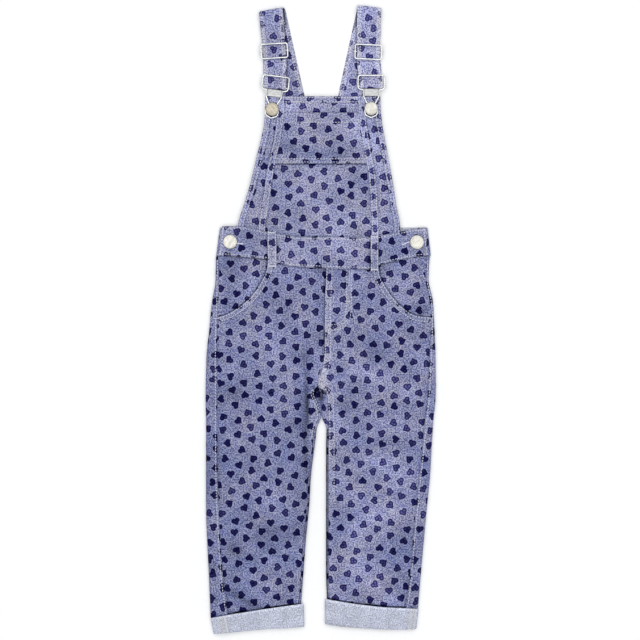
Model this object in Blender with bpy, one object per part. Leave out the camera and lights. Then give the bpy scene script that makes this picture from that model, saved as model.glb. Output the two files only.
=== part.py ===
"""Child's dungarees in light cotton, lying flat on their back.

The garment rests on z = 0. +Y runs from the leg hems to the strap folds, +X to the right as seen
from above. Each cut piece is a thin closed wall. The back panels lie on the floor and wrap round
the side folds to the seams; the front panels lie over them. Lengths below are in millimetres.
"""
import math

import bpy
import numpy as np

MM = 0.001

# ---- cloth ----
CLOTH = 1.2            # one layer of cloth
TRIM = 0.8             # a turned and stitched band
GAP = 0.3              # clearance between neighbouring pieces
INSEAM_GAP = 0.5       # where the back's turned edge meets the front panel
FOLD = 2.8             # half width of a side fold
BAND = 1.8             # thickness of the waistband
CUFF_WALL = 2.4        # turned-up cloth, double
CUFF_HEIGHT = 6.9      # of the whole flat tube
CUFF_FOLD = 3.2        # half width of its side folds
CUFF_STATIONS = (      # share of the way from hem line to folded edge, share of full height
    (0.0, 0.92),
    (0.06, 1.0),
    (0.5, 1.0),
    (0.94, 1.0),
    (1.0, 0.92),
)

# ---- the garment's middle on the floor ----
CENTRE_X = 0.25
CENTRE_Y = -0.09

# ---- height of the front cloth's upper side along the garment ----
FRONT_HEIGHT = (       # y, height
    (-380, 5.0),
    (-340, 5.3),
    (-250, 5.6),
    (-150, 5.7),
    (-60, 5.8),
    (20, 5.6),
    (75, 5.2),
    (110, 5.0),
    (190, 4.7),
    (270, 4.6),
)

# Folds of the front cloth: from (x0, y0) to (x1, y1), half width, height (negative is a trough).
CREASES = (            # x0, y0, x1, y1, half width, height
    (-18, -40, -20, -185, 9, -0.8),
    (-52, -30, -24, -88, 16, 0.6),
    (-92, -78, -30, -100, 18, -0.5),
    (-60, -210, -95, -255, 20, 0.5),
    (-112, -262, -46, -322, 12, -0.8),
    (-70, -278, -38, -300, 12, 0.6),
    (-108, -316, -60, -340, 10, 0.6),
    (24, -56, 33, -108, 12, -0.8),
    (46, -90, 92, -120, 14, -0.8),
    (60, -62, 98, -88, 16, 0.6),
    (98, -50, 124, -66, 12, -0.7),
    (104, -18, 130, -26, 10, -0.6),
    (92, 8, 118, -6, 12, 0.5),
    (62, -190, 30, -236, 18, -0.5),
    (92, -230, 60, -270, 18, 0.5),
    (18, -300, 58, -330, 12, -0.8),
    (60, -296, 96, -322, 12, 0.6),
    (-72, 140, -34, 106, 20, -0.3),
    (20, 214, 56, 192, 18, -0.3),
)

# ---- legs: edges of each half along the garment ----
# outer and inner are the silhouette, and above the crotch inner is the seat seam underneath;
# side_seam is where back meets front on top.
LEG_COLUMNS = ("y", "outer", "side_seam", "inner")
LEFT_LEG = (
    (75, -124.4, -120.3, 1.0),
    (45, -125.0, -121.3, 1.0),
    (18, -129.7, -121.8, 1.0),
    (-14, -132.7, -123.4, 1.0),
    (-42, -135.7, -123.4, 1.0),
    (-60, -136.3, -123.4, 1.0),
    (-80, -136.8, -123.4, 1.0),
    (-87, -136.9, -123.4, 1.0),
    (-104, -136.8, -123.4, 1.0),
    (-115, -136.4, -123.4, 0.8),
    (-129, -136.3, -123.3, -4.2),
    (-148, -136.3, -123.1, -6.5),
    (-186, -136.3, -122.7, -11.3),
    (-225, -136.3, -121.6, -13.7),
    (-262, -135.1, -119.6, -17.3),
    (-300, -132.8, -116.4, -20.2),
    (-338, -130.8, -110.5, -23.2),
)
RIGHT_LEG = (
    (75, 131.2, 127.3, 1.3),
    (60, 129.2, 125.6, 1.3),
    (45, 128.6, 125.3, 1.3),
    (23, 133.6, 129.8, 1.3),
    (4, 135.1, 131.4, 1.3),
    (-20, 136.3, 131.2, 1.3),
    (-42, 137.0, 130.3, 1.3),
    (-60, 137.2, 129.3, 1.3),
    (-80, 137.4, 128.3, 1.3),
    (-84, 137.3, 128.1, 1.3),
    (-88, 137.2, 127.8, 1.3),
    (-92, 137.1, 127.5, 1.3),
    (-104, 136.3, 126.5, 1.4),
    (-115, 134.9, 125.3, 1.6),
    (-131, 133.7, 123.6, 7.1),
    (-148, 132.6, 122.0, 6.6),
    (-186, 130.4, 117.7, 6.6),
    (-225, 126.7, 114.0, 6.6),
    (-268, 122.6, 109.7, 6.5),
    (-305, 119.0, 106.5, 6.6),
    (-338, 116.0, 101.5, 7.7),
)
LEFT_INSEAM = (        # y, x where back meets front on top, below the crotch
    (-80, -4.95),
    (-87, -9.5),
    (-104, -3.4),
    (-115, -2.0),
    (-129, -7.0),
    (-148, -9.4),
    (-186, -14.2),
    (-225, -16.6),
    (-262, -20.2),
    (-300, -23.1),
    (-338, -26.2),
)
RIGHT_INSEAM = (
    (-80, -4.65),
    (-84, 3.6),
    (-88, 6.6),
    (-92, 8.2),
    (-104, 8.8),
    (-115, 9.0),
    (-131, 9.9),
    (-148, 9.5),
    (-225, 9.5),
    (-268, 9.4),
    (-305, 9.5),
    (-338, 10.6),
)
FRONT_SEAM = (         # y, x of the centre front seam, above the crotch
    (75, 7.0),
    (45, 6.0),
    (18, 5.0),
    (-14, 5.0),
    (-42, 4.4),
    (-60, 1.8),
    (-72, -1.8),
    (-80, -4.8),
)
LEAST_TURN = 0.2       # least width of the back's turned part at a side seam
CROTCH = -80.0
LEG_TOP = 70.0         # nominal rows, before the waist and hem lines bend them
LEG_END = -338.0
WAIST_BEND = 20.0      # rows between here and the waist follow the waistband
HEM_BEND = -270.0      # rows between here and the hem follow the hem's slant
CROTCH_FLAT = -76.0    # above this the seat lies flat to its seam
CROTCH_FOLD = -90.0    # below this each leg has its whole inner fold
FOLD_ANGLES = (35.0, 65.0, 90.0)
LEAST_SWEEP = 2.0      # least width of the turned part at an inseam
LEG_ROWS = (58, 46, 36, 26, 17, 9, 4.5, -12, -28, -45, -62, -76, -80, -84, -87, -90, -95, -104,
            -115, -122, -131, -148, -168, -190, -214, -238, -262, -284, -304, -322)

# ---- hems: outer and inner ends of each leg's hem line, and of the cuff's folded edge ----
LEFT_HEM = (-131.0, -355.1, -20.0, -338.4)      # outer x, outer y, inner x, inner y
LEFT_CUFF_EDGE = (-127.2, -374.5, -19.0, -365.7)
RIGHT_HEM = (116.8, -344.0, 5.2, -332.6)
RIGHT_CUFF_EDGE = (114.0, -368.4, 5.2, -362.8)

# ---- front pockets: the scooped edge, from the waistband to the side seam ----
LEFT_POCKET = (        # x, y
    (-62.5, 70.0),
    (-63.9, 58.9),
    (-67.1, 50.5),
    (-76.6, 34.5),
    (-87.3, 22.7),
    (-100.0, 13.0),
    (-111.0, 6.6),
    (-122.1, 2.6),
)
RIGHT_POCKET = (
    (69.8, 70.0),
    (70.1, 59.1),
    (73.2, 49.0),
    (79.6, 36.4),
    (89.5, 22.7),
    (102.0, 11.3),
    (114.5, 4.6),
    (131.2, 2.6),
)
POCKET_FOOT = 2.6
POCKET_UNDERLAP = 6.0
POCKET_DROP = 0.5      # clearance of the hip piece under the front panel
HIP_LEAST_WIDTH = 3.0  # of the hip piece at its foot
HIP_SLANT = 14.0       # most that its rows slope down towards the pocket edge
HIP_DIP = (6.0, 20.0)  # it dips under the front panel between these distances from the edge
BINDING_WIDTH = 6.5
BINDING_CLEAR = 0.8    # under the waistband

# ---- waistband: lower and upper edge across the garment ----
WAIST_LOW = (          # x, y
    (-130, 75.9),
    (-122, 75.8),
    (-64, 71.6),
    (-51, 66.3),
    (-24, 62.8),
    (4, 61.0),
    (57, 59.7),
    (72, 65.5),
    (131, 76.2),
    (140, 76.4),
)
WAIST_HIGH = (
    (-130, 110.0),
    (-118, 110.9),
    (-97, 111.2),
    (-64, 104.6),
    (-49, 102.3),
    (-24, 98.2),
    (11, 98.0),
    (57, 96.9),
    (70, 99.6),
    (127, 108.8),
    (140, 109.0),
)
WAIST_ENDS = (         # front band: x at its lower and upper corner, left then right
    (-121.4, -117.0),
    (128.6, 124.8),
)
WAIST_SILHOUETTE = (   # back band: x at its lower and upper edge, left then right
    (-124.4, -119.8),
    (131.4, 127.6),
)
WAIST_STEP = 0.9       # how far the front band stands above the panels
WAIST_GAP = 0.5        # along the front band's curved edges
WAIST_LAP = 9.0        # how far the back band's ends run under the front band
BACK_WAIST = (75.6, 109.4)   # the back band's straight edges

# ---- bib ----
BIB_COLUMNS = ("y", "left_edge", "left_seam", "right_seam", "right_edge")
BIB = (
    (96, -98.8, -70.6, 65.4, 94.8),
    (111, -98.2, -69.4, 64.9, 94.6),
    (137, -91.0, -65.6, 63.9, 90.0),
    (156, -85.1, -62.8, 62.8, 87.4),
    (175, -80.3, -60.0, 60.9, 83.9),
    (195, -75.6, -56.0, 57.0, 80.3),
    (214, -70.8, -51.6, 53.8, 76.8),
    (233, -67.2, -48.6, 50.9, 73.4),
    (250, -66.0, -47.0, 49.4, 71.6),
    (266, -65.7, -46.4, 48.2, 71.0),
)
BIB_FOOT = 100.0       # about where the bib's lines meet the waistband
BIB_BEND = 141.0       # rows below this follow the waistband's upper edge
BIB_TOP = 265.6
BIB_ROWS = (112, 126, 141, 157, 173, 189, 205, 220, 235, 250)
STRIP_WIDTH = 8.0
HEM_WIDTH = 7.0
TOP_HEM = 8.0
BIB_POCKET_TOP = 246.3
BIB_POCKET_FOOT = 185.6
POCKET_CLOTH = 1.0

# ---- hidden back bib ----
BACK_BIB_TOP = 203.0
BACK_BIB_HALF = (86.0, 50.0)

# ---- belt loops: left and right edge at the top, then at the foot ----
LOOPS = {
    "left": ((-63.2, -52.6, 104.9), (-62.8, -52.2, 62.0)),
    "right": ((59.6, 69.0, 100.0), (59.8, 68.8, 58.0)),
}
LOOP_ARCH = 0.8
LOOP_CLOTH = 1.0
LOOP_GAP = 0.55        # over the waistband

# ---- straps ----
STRAP_WIDTH = 28.4
STRAP_SQUEEZE = 0.955  # its width inside the slider and the buckle
STRAP_CLOTH = 1.3
STRAP_LOOP = 2.3       # radius of the soft fold at the top, at mid cloth
BAR_LOOP = 1.95        # radius of the fold round the buckle's bar
UNDER_WIRE = 3.85      # mid cloth where the strap runs under the hardware's upper wires
RETURN_PLY = 2.25      # mid cloth of the ply that comes back up under the front one
WIRE = 1.0             # wire radius of the sliders and buckles
STRAPS = {
    "left": {
        "fold": (-59.0, 366.6),      # middle of the strap where its top fold starts
        "front_lean": 4.96,          # degrees from straight down, towards +x
        "back_lean": 13.5,
        "slider": (-55.0, 319.6, 3.6),
        "buckle": (-57.4, 249.9, -7.2),
    },
    "right": {
        "fold": (58.0, 369.7),
        "front_lean": -1.2,
        "back_lean": -12.3,
        "slider": (56.9, 318.4, -2.4),
        "buckle": (60.2, 250.7, -0.4),
    },
}
STRAP_END_Y = 184.0    # sewn end on the back bib
STRAP_DROP = (216.0, 206.0)  # the back ply climbs onto the back bib between these
BACK_STATIONS = (-9.0, -19.0, -26.0, -33.0)  # rows near the sewn end, from it
BACK_ROWS = (110.0, 80.0, 50.0, 24.0, 12.0, 0.0)  # rows by their distance from the top fold
SLIDER_ROWS = (0.0, 0.12, 0.33, 0.57, 0.755, 0.847, 0.894, 0.947, 1.0, 1.053, 1.106, 1.153,
               1.224)  # rows as shares of the way from the top fold to the slider's middle
BAR_ROWS = (0.25, 0.5, 0.62, 0.72, 0.8, 0.88, 0.94, 1.0)    # on to the buckle's bar
RETURN_ROWS = (0.12, 0.24, 0.45, 0.65, 0.78, 0.88, 0.96)    # and back to the slider
SLIDER_HALF = (15.6, 8.5)    # of the wire's middle line, across and along the strap
SLIDER_CORNER = 2.6
SLIDER_BAR = 17.8      # half length of the centre bar, past the side wires
SLIDER_Z = 5.8
CENTRE_BAR_Z = 4.6
BUCKLE_BAR_V = 27.0    # crossbar, measured up from the button
BUCKLE_TOP_V = 39.8
BUCKLE_BAR = 17.6      # half length of the crossbar, past the side wires
BUCKLE_LINE = (        # right half of the wire: u, v, corner radius
    (15.7, 39.8, 3.2),
    (15.7, 23.6, 4.2),
    (9.1, 22.4, 2.0),
    (9.0, 14.5, 4.0),
    (4.5, 5.6, 2.0),
    (7.7, -2.5, 3.0),
    (6.4, -7.6, 2.5),
)
BUCKLE_FOOT = (0.0, -10.6, 3.0)
BUCKLE_RISE = (        # height of the wire's middle along the buckle: v, z
    (-12, 7.1),
    (14, 7.1),
    (18, 6.7),
    (27, 5.7),
    (40, 5.8),
)
PLATE_SPAN = (15.2, 23.4)    # along the buckle, from the button's middle
PLATE_HALF = 8.9
PLATE_METAL = 0.8
PLATE_EDGE = (1.4, 0.25)     # width and height of its bent-down sides

# Height of the strap's mid cloth along its front ply.
FRONT_PLY = (          # distance down from the slider's middle, z
    (-46.0, 5.25),
    (-34.0, 4.2),
    (-20.0, 3.7),
    (-11.0, 3.8),
    (-8.0, 3.85),
    (-2.5, 6.4),
    (0.0, 6.6),
    (2.5, 6.4),
    (8.0, 3.85),
    (12.0, 3.85),
)

# ---- buttons: middle, radius of the head ----
BUTTONS = {
    "bib_button_left": (-57.4, 249.9, 8.0),
    "bib_button_right": (60.2, 250.7, 8.0),
    "hip_button_left": (-107.5, 92.4, 8.5),
    "hip_button_right": (114.7, 92.0, 8.5),
}
BUTTON_POST = 2.6
BUTTON_SIDES = 20
HIP_BUTTON_CLEAR = 0.6       # under the hip buttons' heads
BUTTON_HEAD = (        # inwards from the head's radius, up from its underside
    (0.6, 0.0),
    (0.0, 0.6),
    (0.0, 1.2),
    (0.7, 1.9),
    (1.7, 1.9),
    (2.2, 1.6),
)
BUTTON_FACE = 1.7      # middle of the face, up from the underside

COLOURS = {            # red, green, blue, roughness, metallic
    "chambray": (0.30, 0.33, 0.52, 0.9, 0.0),
    "pale_cloth": (0.55, 0.58, 0.70, 0.9, 0.0),
    "silver_wire": (0.82, 0.83, 0.84, 0.25, 1.0),
    "champagne_metal": (0.80, 0.76, 0.66, 0.35, 1.0),
}


# ---------------------------------------------------------------- numbers
def smooth_curve(keys, values, at):
    """Shape-keeping cubic through (keys, values), which may run up or down."""
    keys = np.asarray(keys, float)
    values = np.asarray(values, float)
    if keys[0] > keys[-1]:
        keys = keys[::-1]
        values = values[::-1]
    at = np.clip(np.asarray(at, float), keys[0], keys[-1])
    step = np.diff(keys)
    slope = np.diff(values) / step
    tangent = np.empty(len(keys))
    tangent[0] = slope[0]
    tangent[-1] = slope[-1]
    both = slope[:-1] * slope[1:]
    safe = np.where(both > 0, slope[:-1] + slope[1:], 1.0)
    tangent[1:-1] = np.where(both > 0, 2.0 * both / safe, 0.0)
    i = np.clip(np.searchsorted(keys, at) - 1, 0, len(step) - 1)
    t = (at - keys[i]) / step[i]
    h = step[i]
    return ((1 + 2 * t) * (1 - t) ** 2 * values[i] + t * (1 - t) ** 2 * h * tangent[i]
            + t * t * (3 - 2 * t) * values[i + 1] + t * t * (t - 1) * h * tangent[i + 1])


def column(table, names, name, at):
    """Value of one named column of a table whose first column is the key."""
    k = names.index(name)
    return smooth_curve([row[0] for row in table], [row[k] for row in table], at)


def table_height(table, at):
    return smooth_curve([row[0] for row in table], [row[1] for row in table], at)


def ease(low, high, x):
    t = np.clip((np.asarray(x, float) - low) / (high - low), 0.0, 1.0)
    return t * t * (3.0 - 2.0 * t)


def segment_distance(x, y, x0, y0, x1, y1):
    """Distance from points to a segment, and how far along it the nearest point lies."""
    dx = x1 - x0
    dy = y1 - y0
    t = np.clip(((x - x0) * dx + (y - y0) * dy) / (dx * dx + dy * dy), 0.0, 1.0)
    return np.hypot(x - x0 - t * dx, y - y0 - t * dy), t


def front_z(x, y):
    """Upper side of the front panels."""
    x = np.asarray(x, float)
    y = np.asarray(y, float)
    z = table_height(FRONT_HEIGHT, y) + 0.0 * x
    for x0, y0, x1, y1, half_width, height in CREASES:
        distance, along = segment_distance(x, y, x0, y0, x1, y1)
        bump = np.clip(1.0 - (distance / half_width) ** 2, 0.0, 1.0) ** 2
        z = z + height * bump * (0.65 + 0.35 * np.sin(math.pi * along))
    return z


def waist_low(x):
    return table_height(WAIST_LOW, x)


def waist_high(x):
    return table_height(WAIST_HIGH, x)


def curve_points(points, count):
    """Evenly spaced points on a smooth line through a few points, and its unit normals."""
    points = np.asarray(points, float)
    reach = np.r_[0.0, np.cumsum(np.hypot(*np.diff(points, axis=0).T))]
    fine = np.linspace(0.0, reach[-1], 400)
    line = np.c_[smooth_curve(reach, points[:, 0], fine), smooth_curve(reach, points[:, 1], fine)]
    length = np.r_[0.0, np.cumsum(np.hypot(*np.diff(line, axis=0).T))]
    even = np.linspace(0.0, length[-1], count)
    out = np.c_[np.interp(even, length, line[:, 0]), np.interp(even, length, line[:, 1])]
    along = np.gradient(out, axis=0)
    along /= np.hypot(along[:, 0], along[:, 1])[:, None]
    return out, np.c_[along[:, 1], -along[:, 0]]


# ---------------------------------------------------------------- meshes
def clear_scene():
    for thing in list(bpy.data.objects):
        bpy.data.objects.remove(thing, do_unlink=True)


def make_material(name):
    red, green, blue, roughness, metallic = COLOURS[name]
    material = bpy.data.materials.new(name)
    material.use_nodes = True
    shader = material.node_tree.nodes["Principled BSDF"]
    shader.inputs["Base Color"].default_value = (red, green, blue, 1.0)
    shader.inputs["Roughness"].default_value = roughness
    shader.inputs["Metallic"].default_value = metallic
    material.diffuse_color = (red, green, blue, 1.0)
    return material


def signed_volume(points, faces):
    total = 0.0
    for face in faces:
        a = points[face[0]]
        for j in range(1, len(face) - 1):
            total += float(np.dot(a, np.cross(points[face[j]], points[face[j + 1]])))
    return total / 6.0


def add_solid(name, points, faces, colour, sharp_degrees=40.0):
    """Make one closed, outward-facing object from points in millimetres."""
    points = np.asarray(points, float) - np.array([CENTRE_X, CENTRE_Y, 0.0])
    if signed_volume(points, faces) < 0.0:
        faces = [tuple(reversed(face)) for face in faces]
    mesh = bpy.data.meshes.new(name)
    mesh.from_pydata([tuple(p * MM) for p in points], [], faces)
    mesh.validate()
    mesh.update()
    mesh.shade_smooth()
    mesh.set_sharp_from_angle(angle=math.radians(sharp_degrees))
    thing = bpy.data.objects.new(name, mesh)
    thing.data.materials.append(make_material(colour))
    bpy.context.collection.objects.link(thing)
    return thing


def wall(name, upper, lower, colour, ring=False):
    """Closed wall between two grids of points, rows by columns; a ring joins its columns."""
    upper = np.asarray(upper, float)
    lower = np.asarray(lower, float)
    rows, cols = upper.shape[:2]
    size = rows * cols
    points = np.r_[upper.reshape(-1, 3), lower.reshape(-1, 3)]
    spans = cols if ring else cols - 1
    faces = []
    for r in range(rows - 1):
        for c in range(spans):
            d = (c + 1) % cols
            a, b = r * cols + c, r * cols + d
            e, f = a + cols, b + cols
            faces.append((a, b, f, e))
            faces.append((size + a, size + e, size + f, size + b))
    for r in (0, rows - 1):
        for c in range(spans):
            d = (c + 1) % cols
            a, b = r * cols + c, r * cols + d
            rim = (a, size + a, size + b, b)
            faces.append(rim if r == 0 else rim[::-1])
    if not ring:
        for c in (0, cols - 1):
            for r in range(rows - 1):
                a, e = r * cols + c, (r + 1) * cols + c
                rim = (a, e, size + e, size + a)
                faces.append(rim if c == 0 else rim[::-1])
    return add_solid(name, points, faces, colour)


def patch(name, x, y, lift, thickness, colour):
    """Wall that follows the front cloth: its lower side is lifted from the cloth's upper side."""
    x = np.asarray(x, float)
    y = np.asarray(y, float)
    base = front_z(x, y) + lift
    return wall(name, np.dstack([x, y, base + thickness]), np.dstack([x, y, base]), colour)


def tube(name, centres, radius, sides, colour, closed):
    """Round wire along points; the ends of an open one are capped."""
    centres = np.asarray(centres, float)
    count = len(centres)
    if closed:
        ahead = np.roll(centres, -1, axis=0) - np.roll(centres, 1, axis=0)
    else:
        ahead = np.gradient(centres, axis=0)
    ahead /= np.linalg.norm(ahead, axis=1)[:, None]
    points = []
    for centre, forward in zip(centres, ahead):
        side = np.cross((0.0, 0.0, 1.0), forward)
        side /= np.linalg.norm(side)
        up = np.cross(forward, side)
        for k in range(sides):
            angle = 2.0 * math.pi * (k + 0.5) / sides
            points.append(centre + radius * (math.cos(angle) * side + math.sin(angle) * up))
    faces = []
    for i in range(count if closed else count - 1):
        j = (i + 1) % count
        for k in range(sides):
            m = (k + 1) % sides
            faces.append((i * sides + k, i * sides + m, j * sides + m, j * sides + k))
    if not closed:
        faces.append(tuple(reversed(range(sides))))
        faces.append(tuple((count - 1) * sides + k for k in range(sides)))
    return add_solid(name, points, faces, colour)


def weld_on(thing, extra):
    """Join a second closed shape to an object as one body."""
    union = thing.modifiers.new("weld", "BOOLEAN")
    union.operation = "UNION"
    union.solver = "EXACT"
    union.object = extra
    extra.hide_render = True
    extra.display_type = "WIRE"


# ---------------------------------------------------------------- legs
def bend_rows(x, y, hem, waist=None):
    """Bend nominal rows to the waistband above and to the slanted hem below."""
    x = np.asarray(x, float)
    y = np.asarray(y, float) + 0.0 * x
    top = (y - WAIST_BEND) / (LEG_TOP - WAIST_BEND)
    edge = waist_low(x) - WAIST_GAP if waist is None else waist - GAP
    y_top = WAIST_BEND + top * (edge - WAIST_BEND)
    x_outer, y_outer, x_inner, y_inner = hem
    hem_y = y_inner + (x - x_inner) / (x_outer - x_inner) * (y_outer - y_inner)
    foot = (y - HEM_BEND) / (LEG_END - HEM_BEND)
    y_foot = HEM_BEND + foot * (hem_y + GAP - HEM_BEND)
    return np.where(y > WAIST_BEND, y_top, np.where(y < HEM_BEND, y_foot, y))


def leg_rows():
    return (LEG_TOP,) + LEG_ROWS[:7] + (POCKET_FOOT,) + LEG_ROWS[7:] + (LEG_END,)


def inner_edge(side, y):
    """x of a front panel's inner edge: the centre seam, and below the crotch the inseam."""
    if y > CROTCH:
        return float(table_height(FRONT_SEAM, y)) + side * GAP / 2.0
    return float(table_height(RIGHT_INSEAM if side > 0 else LEFT_INSEAM, y))


def inner_fold(u_inner, u_front, high, front_height, share):
    """Outer and inner line of a leg's fold at the inseam, from the floor up and over.

    A share below 1 has turned less and is shorter, and 0 is the seat, which lies flat.
    """
    start = u_inner + FOLD
    sweep = max(LEAST_SWEEP, (u_front - u_inner) * share ** 2)
    path = [(start, 0.0)]
    for angle in np.radians(FOLD_ANGLES):
        path.append((start - FOLD * math.sin(angle), high - high * math.cos(angle)))
    for angle in np.radians(FOLD_ANGLES):
        path.append((u_inner + sweep * (1.0 - math.cos(angle)),
                     high + (front_height - high) * math.sin(angle)))
    step = np.diff(np.array(path), axis=0)
    length = np.hypot(step[:, 0], step[:, 1])
    heading = np.arctan2(step[:, 1], -step[:, 0]) * share
    reach = np.r_[0.0, np.cumsum(length * np.cos(heading))]
    scale = FOLD / reach.max()
    u = start - scale * reach
    z = scale * np.r_[0.0, np.cumsum(length * np.sin(heading))]
    turned = np.r_[0.0, (heading[:-1] + heading[1:]) / 2.0, math.pi * share]
    outer = list(zip(u, z))
    inner = list(zip(u + CLOTH * np.sin(turned), z + CLOTH * np.cos(turned)))
    return outer, inner


def back_section(leg, side, y, hem):
    """Outer and inner line of a leg's back piece at one row, from side seam to inseam.

    u is the distance from the garment's middle towards this leg's outer side.
    """
    u_outer = side * column(leg, LEG_COLUMNS, "outer", y)
    u_seam = side * column(leg, LEG_COLUMNS, "side_seam", y) + GAP
    u_front = side * inner_edge(side, y) - INSEAM_GAP
    u_inner = side * column(leg, LEG_COLUMNS, "inner", y)
    u_seam = min(u_seam, u_outer - FOLD - LEAST_TURN)
    waist = BACK_WAIST[0]
    height = float(front_z(side * (u_outer - FOLD), bend_rows(side * u_outer, y, hem, waist)))
    high = height / 2.0
    outer = []
    inner = []
    for u in np.linspace(u_seam, u_outer - FOLD, 3)[:2]:
        z = float(front_z(side * u, bend_rows(side * u, y, hem, waist)))
        outer.append((u, z))
        inner.append((u, z - CLOTH))
    for angle in np.radians(np.linspace(90.0, -90.0, 6)):
        for line, inset in ((outer, 0.0), (inner, CLOTH)):
            line.append((u_outer - FOLD + (FOLD - inset) * math.cos(angle),
                         high + (high - inset) * math.sin(angle)))
    start = u_inner + FOLD
    for u in np.linspace(u_outer - FOLD, start, 4)[1:-1]:
        outer.append((u, 0.0))
        inner.append((u, CLOTH))
    front_height = float(front_z(side * u_front, bend_rows(side * u_front, y, hem)))
    share = float(np.clip((CROTCH_FLAT - y) / (CROTCH_FLAT - CROTCH_FOLD), 0.0, 1.0))
    fold_outer, fold_inner = inner_fold(u_inner, u_front, high, front_height, share)
    outer.extend(fold_outer)
    inner.extend(fold_inner)
    return outer, inner


def make_leg_back(name, leg, side, hem):
    upper = []
    lower = []
    for y in leg_rows():
        outer, inner = back_section(leg, side, y, hem)
        for target, line in ((upper, outer), (lower, inner)):
            x = side * np.array([point[0] for point in line])
            y_line = bend_rows(x, y, hem, BACK_WAIST[0])
            target.append(np.c_[x, y_line, [point[1] for point in line]])
    wall(name, upper, lower, "chambray")


def pocket_edge(pocket, side, y):
    """x of the scooped pocket edge at a nominal row."""
    return smooth_curve([p[1] for p in pocket], [p[0] for p in pocket], y)


def towards_panel(normal, side):
    """Normals of a pocket's edge turned to point down and inwards, over the front panel."""
    return np.where(normal[:, 1:2] + side * normal[:, 0:1] > 0, -normal, normal)


def make_leg_front(name, leg, side, hem, pocket):
    rows_x = []
    rows_y = []
    for y in leg_rows():
        if y >= POCKET_FOOT:
            x_out = float(pocket_edge(pocket, side, y))
        else:
            x_out = float(column(leg, LEG_COLUMNS, "side_seam", y))
        x_in = inner_edge(side, y)
        x = x_out + (x_in - x_out) * np.linspace(0.0, 1.0, 8)
        rows_x.append(x)
        rows_y.append(bend_rows(x, y, hem))
    patch(name, rows_x, rows_y, -CLOTH, CLOTH, "chambray")


def make_hip_piece(name, leg, side, hem, pocket):
    """Side piece behind the pocket's scooped edge; it dips under the front panel there."""
    edge, normal = curve_points(pocket, 11)
    start = edge + towards_panel(normal, side) * POCKET_UNDERLAP
    rows_y = np.linspace(LEG_TOP, POCKET_FOOT - POCKET_UNDERLAP, 11)
    grid_x = []
    grid_y = []
    drop = []
    full = CLOTH + POCKET_DROP
    for (x0, y0), y_side in zip(start, rows_y):
        x1 = float(column(leg, LEG_COLUMNS, "side_seam", y_side))
        x0 = side * min(side * x0, side * x1 - HIP_LEAST_WIDTH)
        y0 = max(min(y0, LEG_TOP), y_side - HIP_SLANT)
        t = np.linspace(0.0, 1.0, 5)
        x = x0 + (x1 - x0) * t
        y = y0 + (y_side - y0) * t
        away = np.full(len(t), np.inf)
        for a, b in zip(edge[:-1], edge[1:]):
            away = np.minimum(away, segment_distance(x, y, a[0], a[1], b[0], b[1])[0])
        inside = np.array([side * px > side * float(pocket_edge(pocket, side, max(py, POCKET_FOOT)))
                           and py > POCKET_FOOT for px, py in zip(x, y)])
        shown = np.where(inside, away, 0.0)
        drop.append(full * (1.0 - ease(*HIP_DIP, shown)))
        grid_x.append(x)
        grid_y.append(bend_rows(x, y, hem))
    x = np.array(grid_x)
    y = np.array(grid_y)
    z = front_z(x, y) - np.array(drop)
    wall(name, np.dstack([x, y, z]), np.dstack([x, y, z - CLOTH]), "chambray")


def make_pocket_binding(name, side, hem, pocket):
    """Stitched band along the scooped edge, on the front panel."""
    edge, normal = curve_points(pocket, 15)
    inner = edge + towards_panel(normal, side) * BINDING_WIDTH
    x = np.c_[edge[:, 0], 0.5 * (edge[:, 0] + inner[:, 0]), inner[:, 0]]
    y = np.c_[edge[:, 1], 0.5 * (edge[:, 1] + inner[:, 1]), inner[:, 1]]
    y = np.minimum(y, LEG_TOP - BINDING_CLEAR)
    patch(name, x, bend_rows(x, y, hem), GAP, TRIM, "chambray")


def make_cuff(name, hem, edge):
    """Turned-up hem: a flat tube, double cloth all round."""
    upper = []
    lower = []
    ring = np.radians(np.linspace(90.0, -90.0, 6))
    middle = CUFF_HEIGHT / 2.0
    for t, share in CUFF_STATIONS:
        x0, y0, x1, y1 = [(1.0 - t) * a + t * b for a, b in zip(hem, edge)]
        width = math.hypot(x1 - x0, y1 - y0)
        across = np.array([x1 - x0, y1 - y0]) / width
        start = np.array([x0, y0 - (GAP if t == 0.0 else 0.0)])
        for target, inset, high in ((upper, 0.0, middle * share),
                                    (lower, CUFF_WALL, middle - CUFF_WALL)):
            radius = CUFF_FOLD - inset
            line = []
            for d in np.linspace(CUFF_FOLD, width - CUFF_FOLD, 6)[:-1]:
                line.append((d, middle + high))
            for angle in ring[:-1]:
                line.append((width - CUFF_FOLD + radius * math.cos(angle),
                             middle + high * math.sin(angle)))
            for d in np.linspace(width - CUFF_FOLD, CUFF_FOLD, 6)[:-1]:
                line.append((d, middle - high))
            for angle in ring[:-1]:
                line.append((CUFF_FOLD - radius * math.cos(angle),
                             middle - high * math.sin(angle)))
            flat = np.array(line)
            target.append(np.c_[start + flat[:, :1] * across, flat[:, 1]])
    wall(name, upper, lower, "pale_cloth", ring=True)


# ---------------------------------------------------------------- waist
def make_waistband_front():
    left, right = WAIST_ENDS
    rows_x = []
    rows_y = []
    for t in (0.0, 0.5, 1.0):
        x0 = left[0] + t * (left[1] - left[0])
        x1 = right[0] + t * (right[1] - right[0])
        x = np.linspace(x0, x1, 22)
        rows_x.append(x)
        rows_y.append(waist_low(x) + t * (waist_high(x) - waist_low(x)))
    patch("waistband_front", rows_x, rows_y, WAIST_STEP - BAND, BAND, "chambray")


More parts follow.
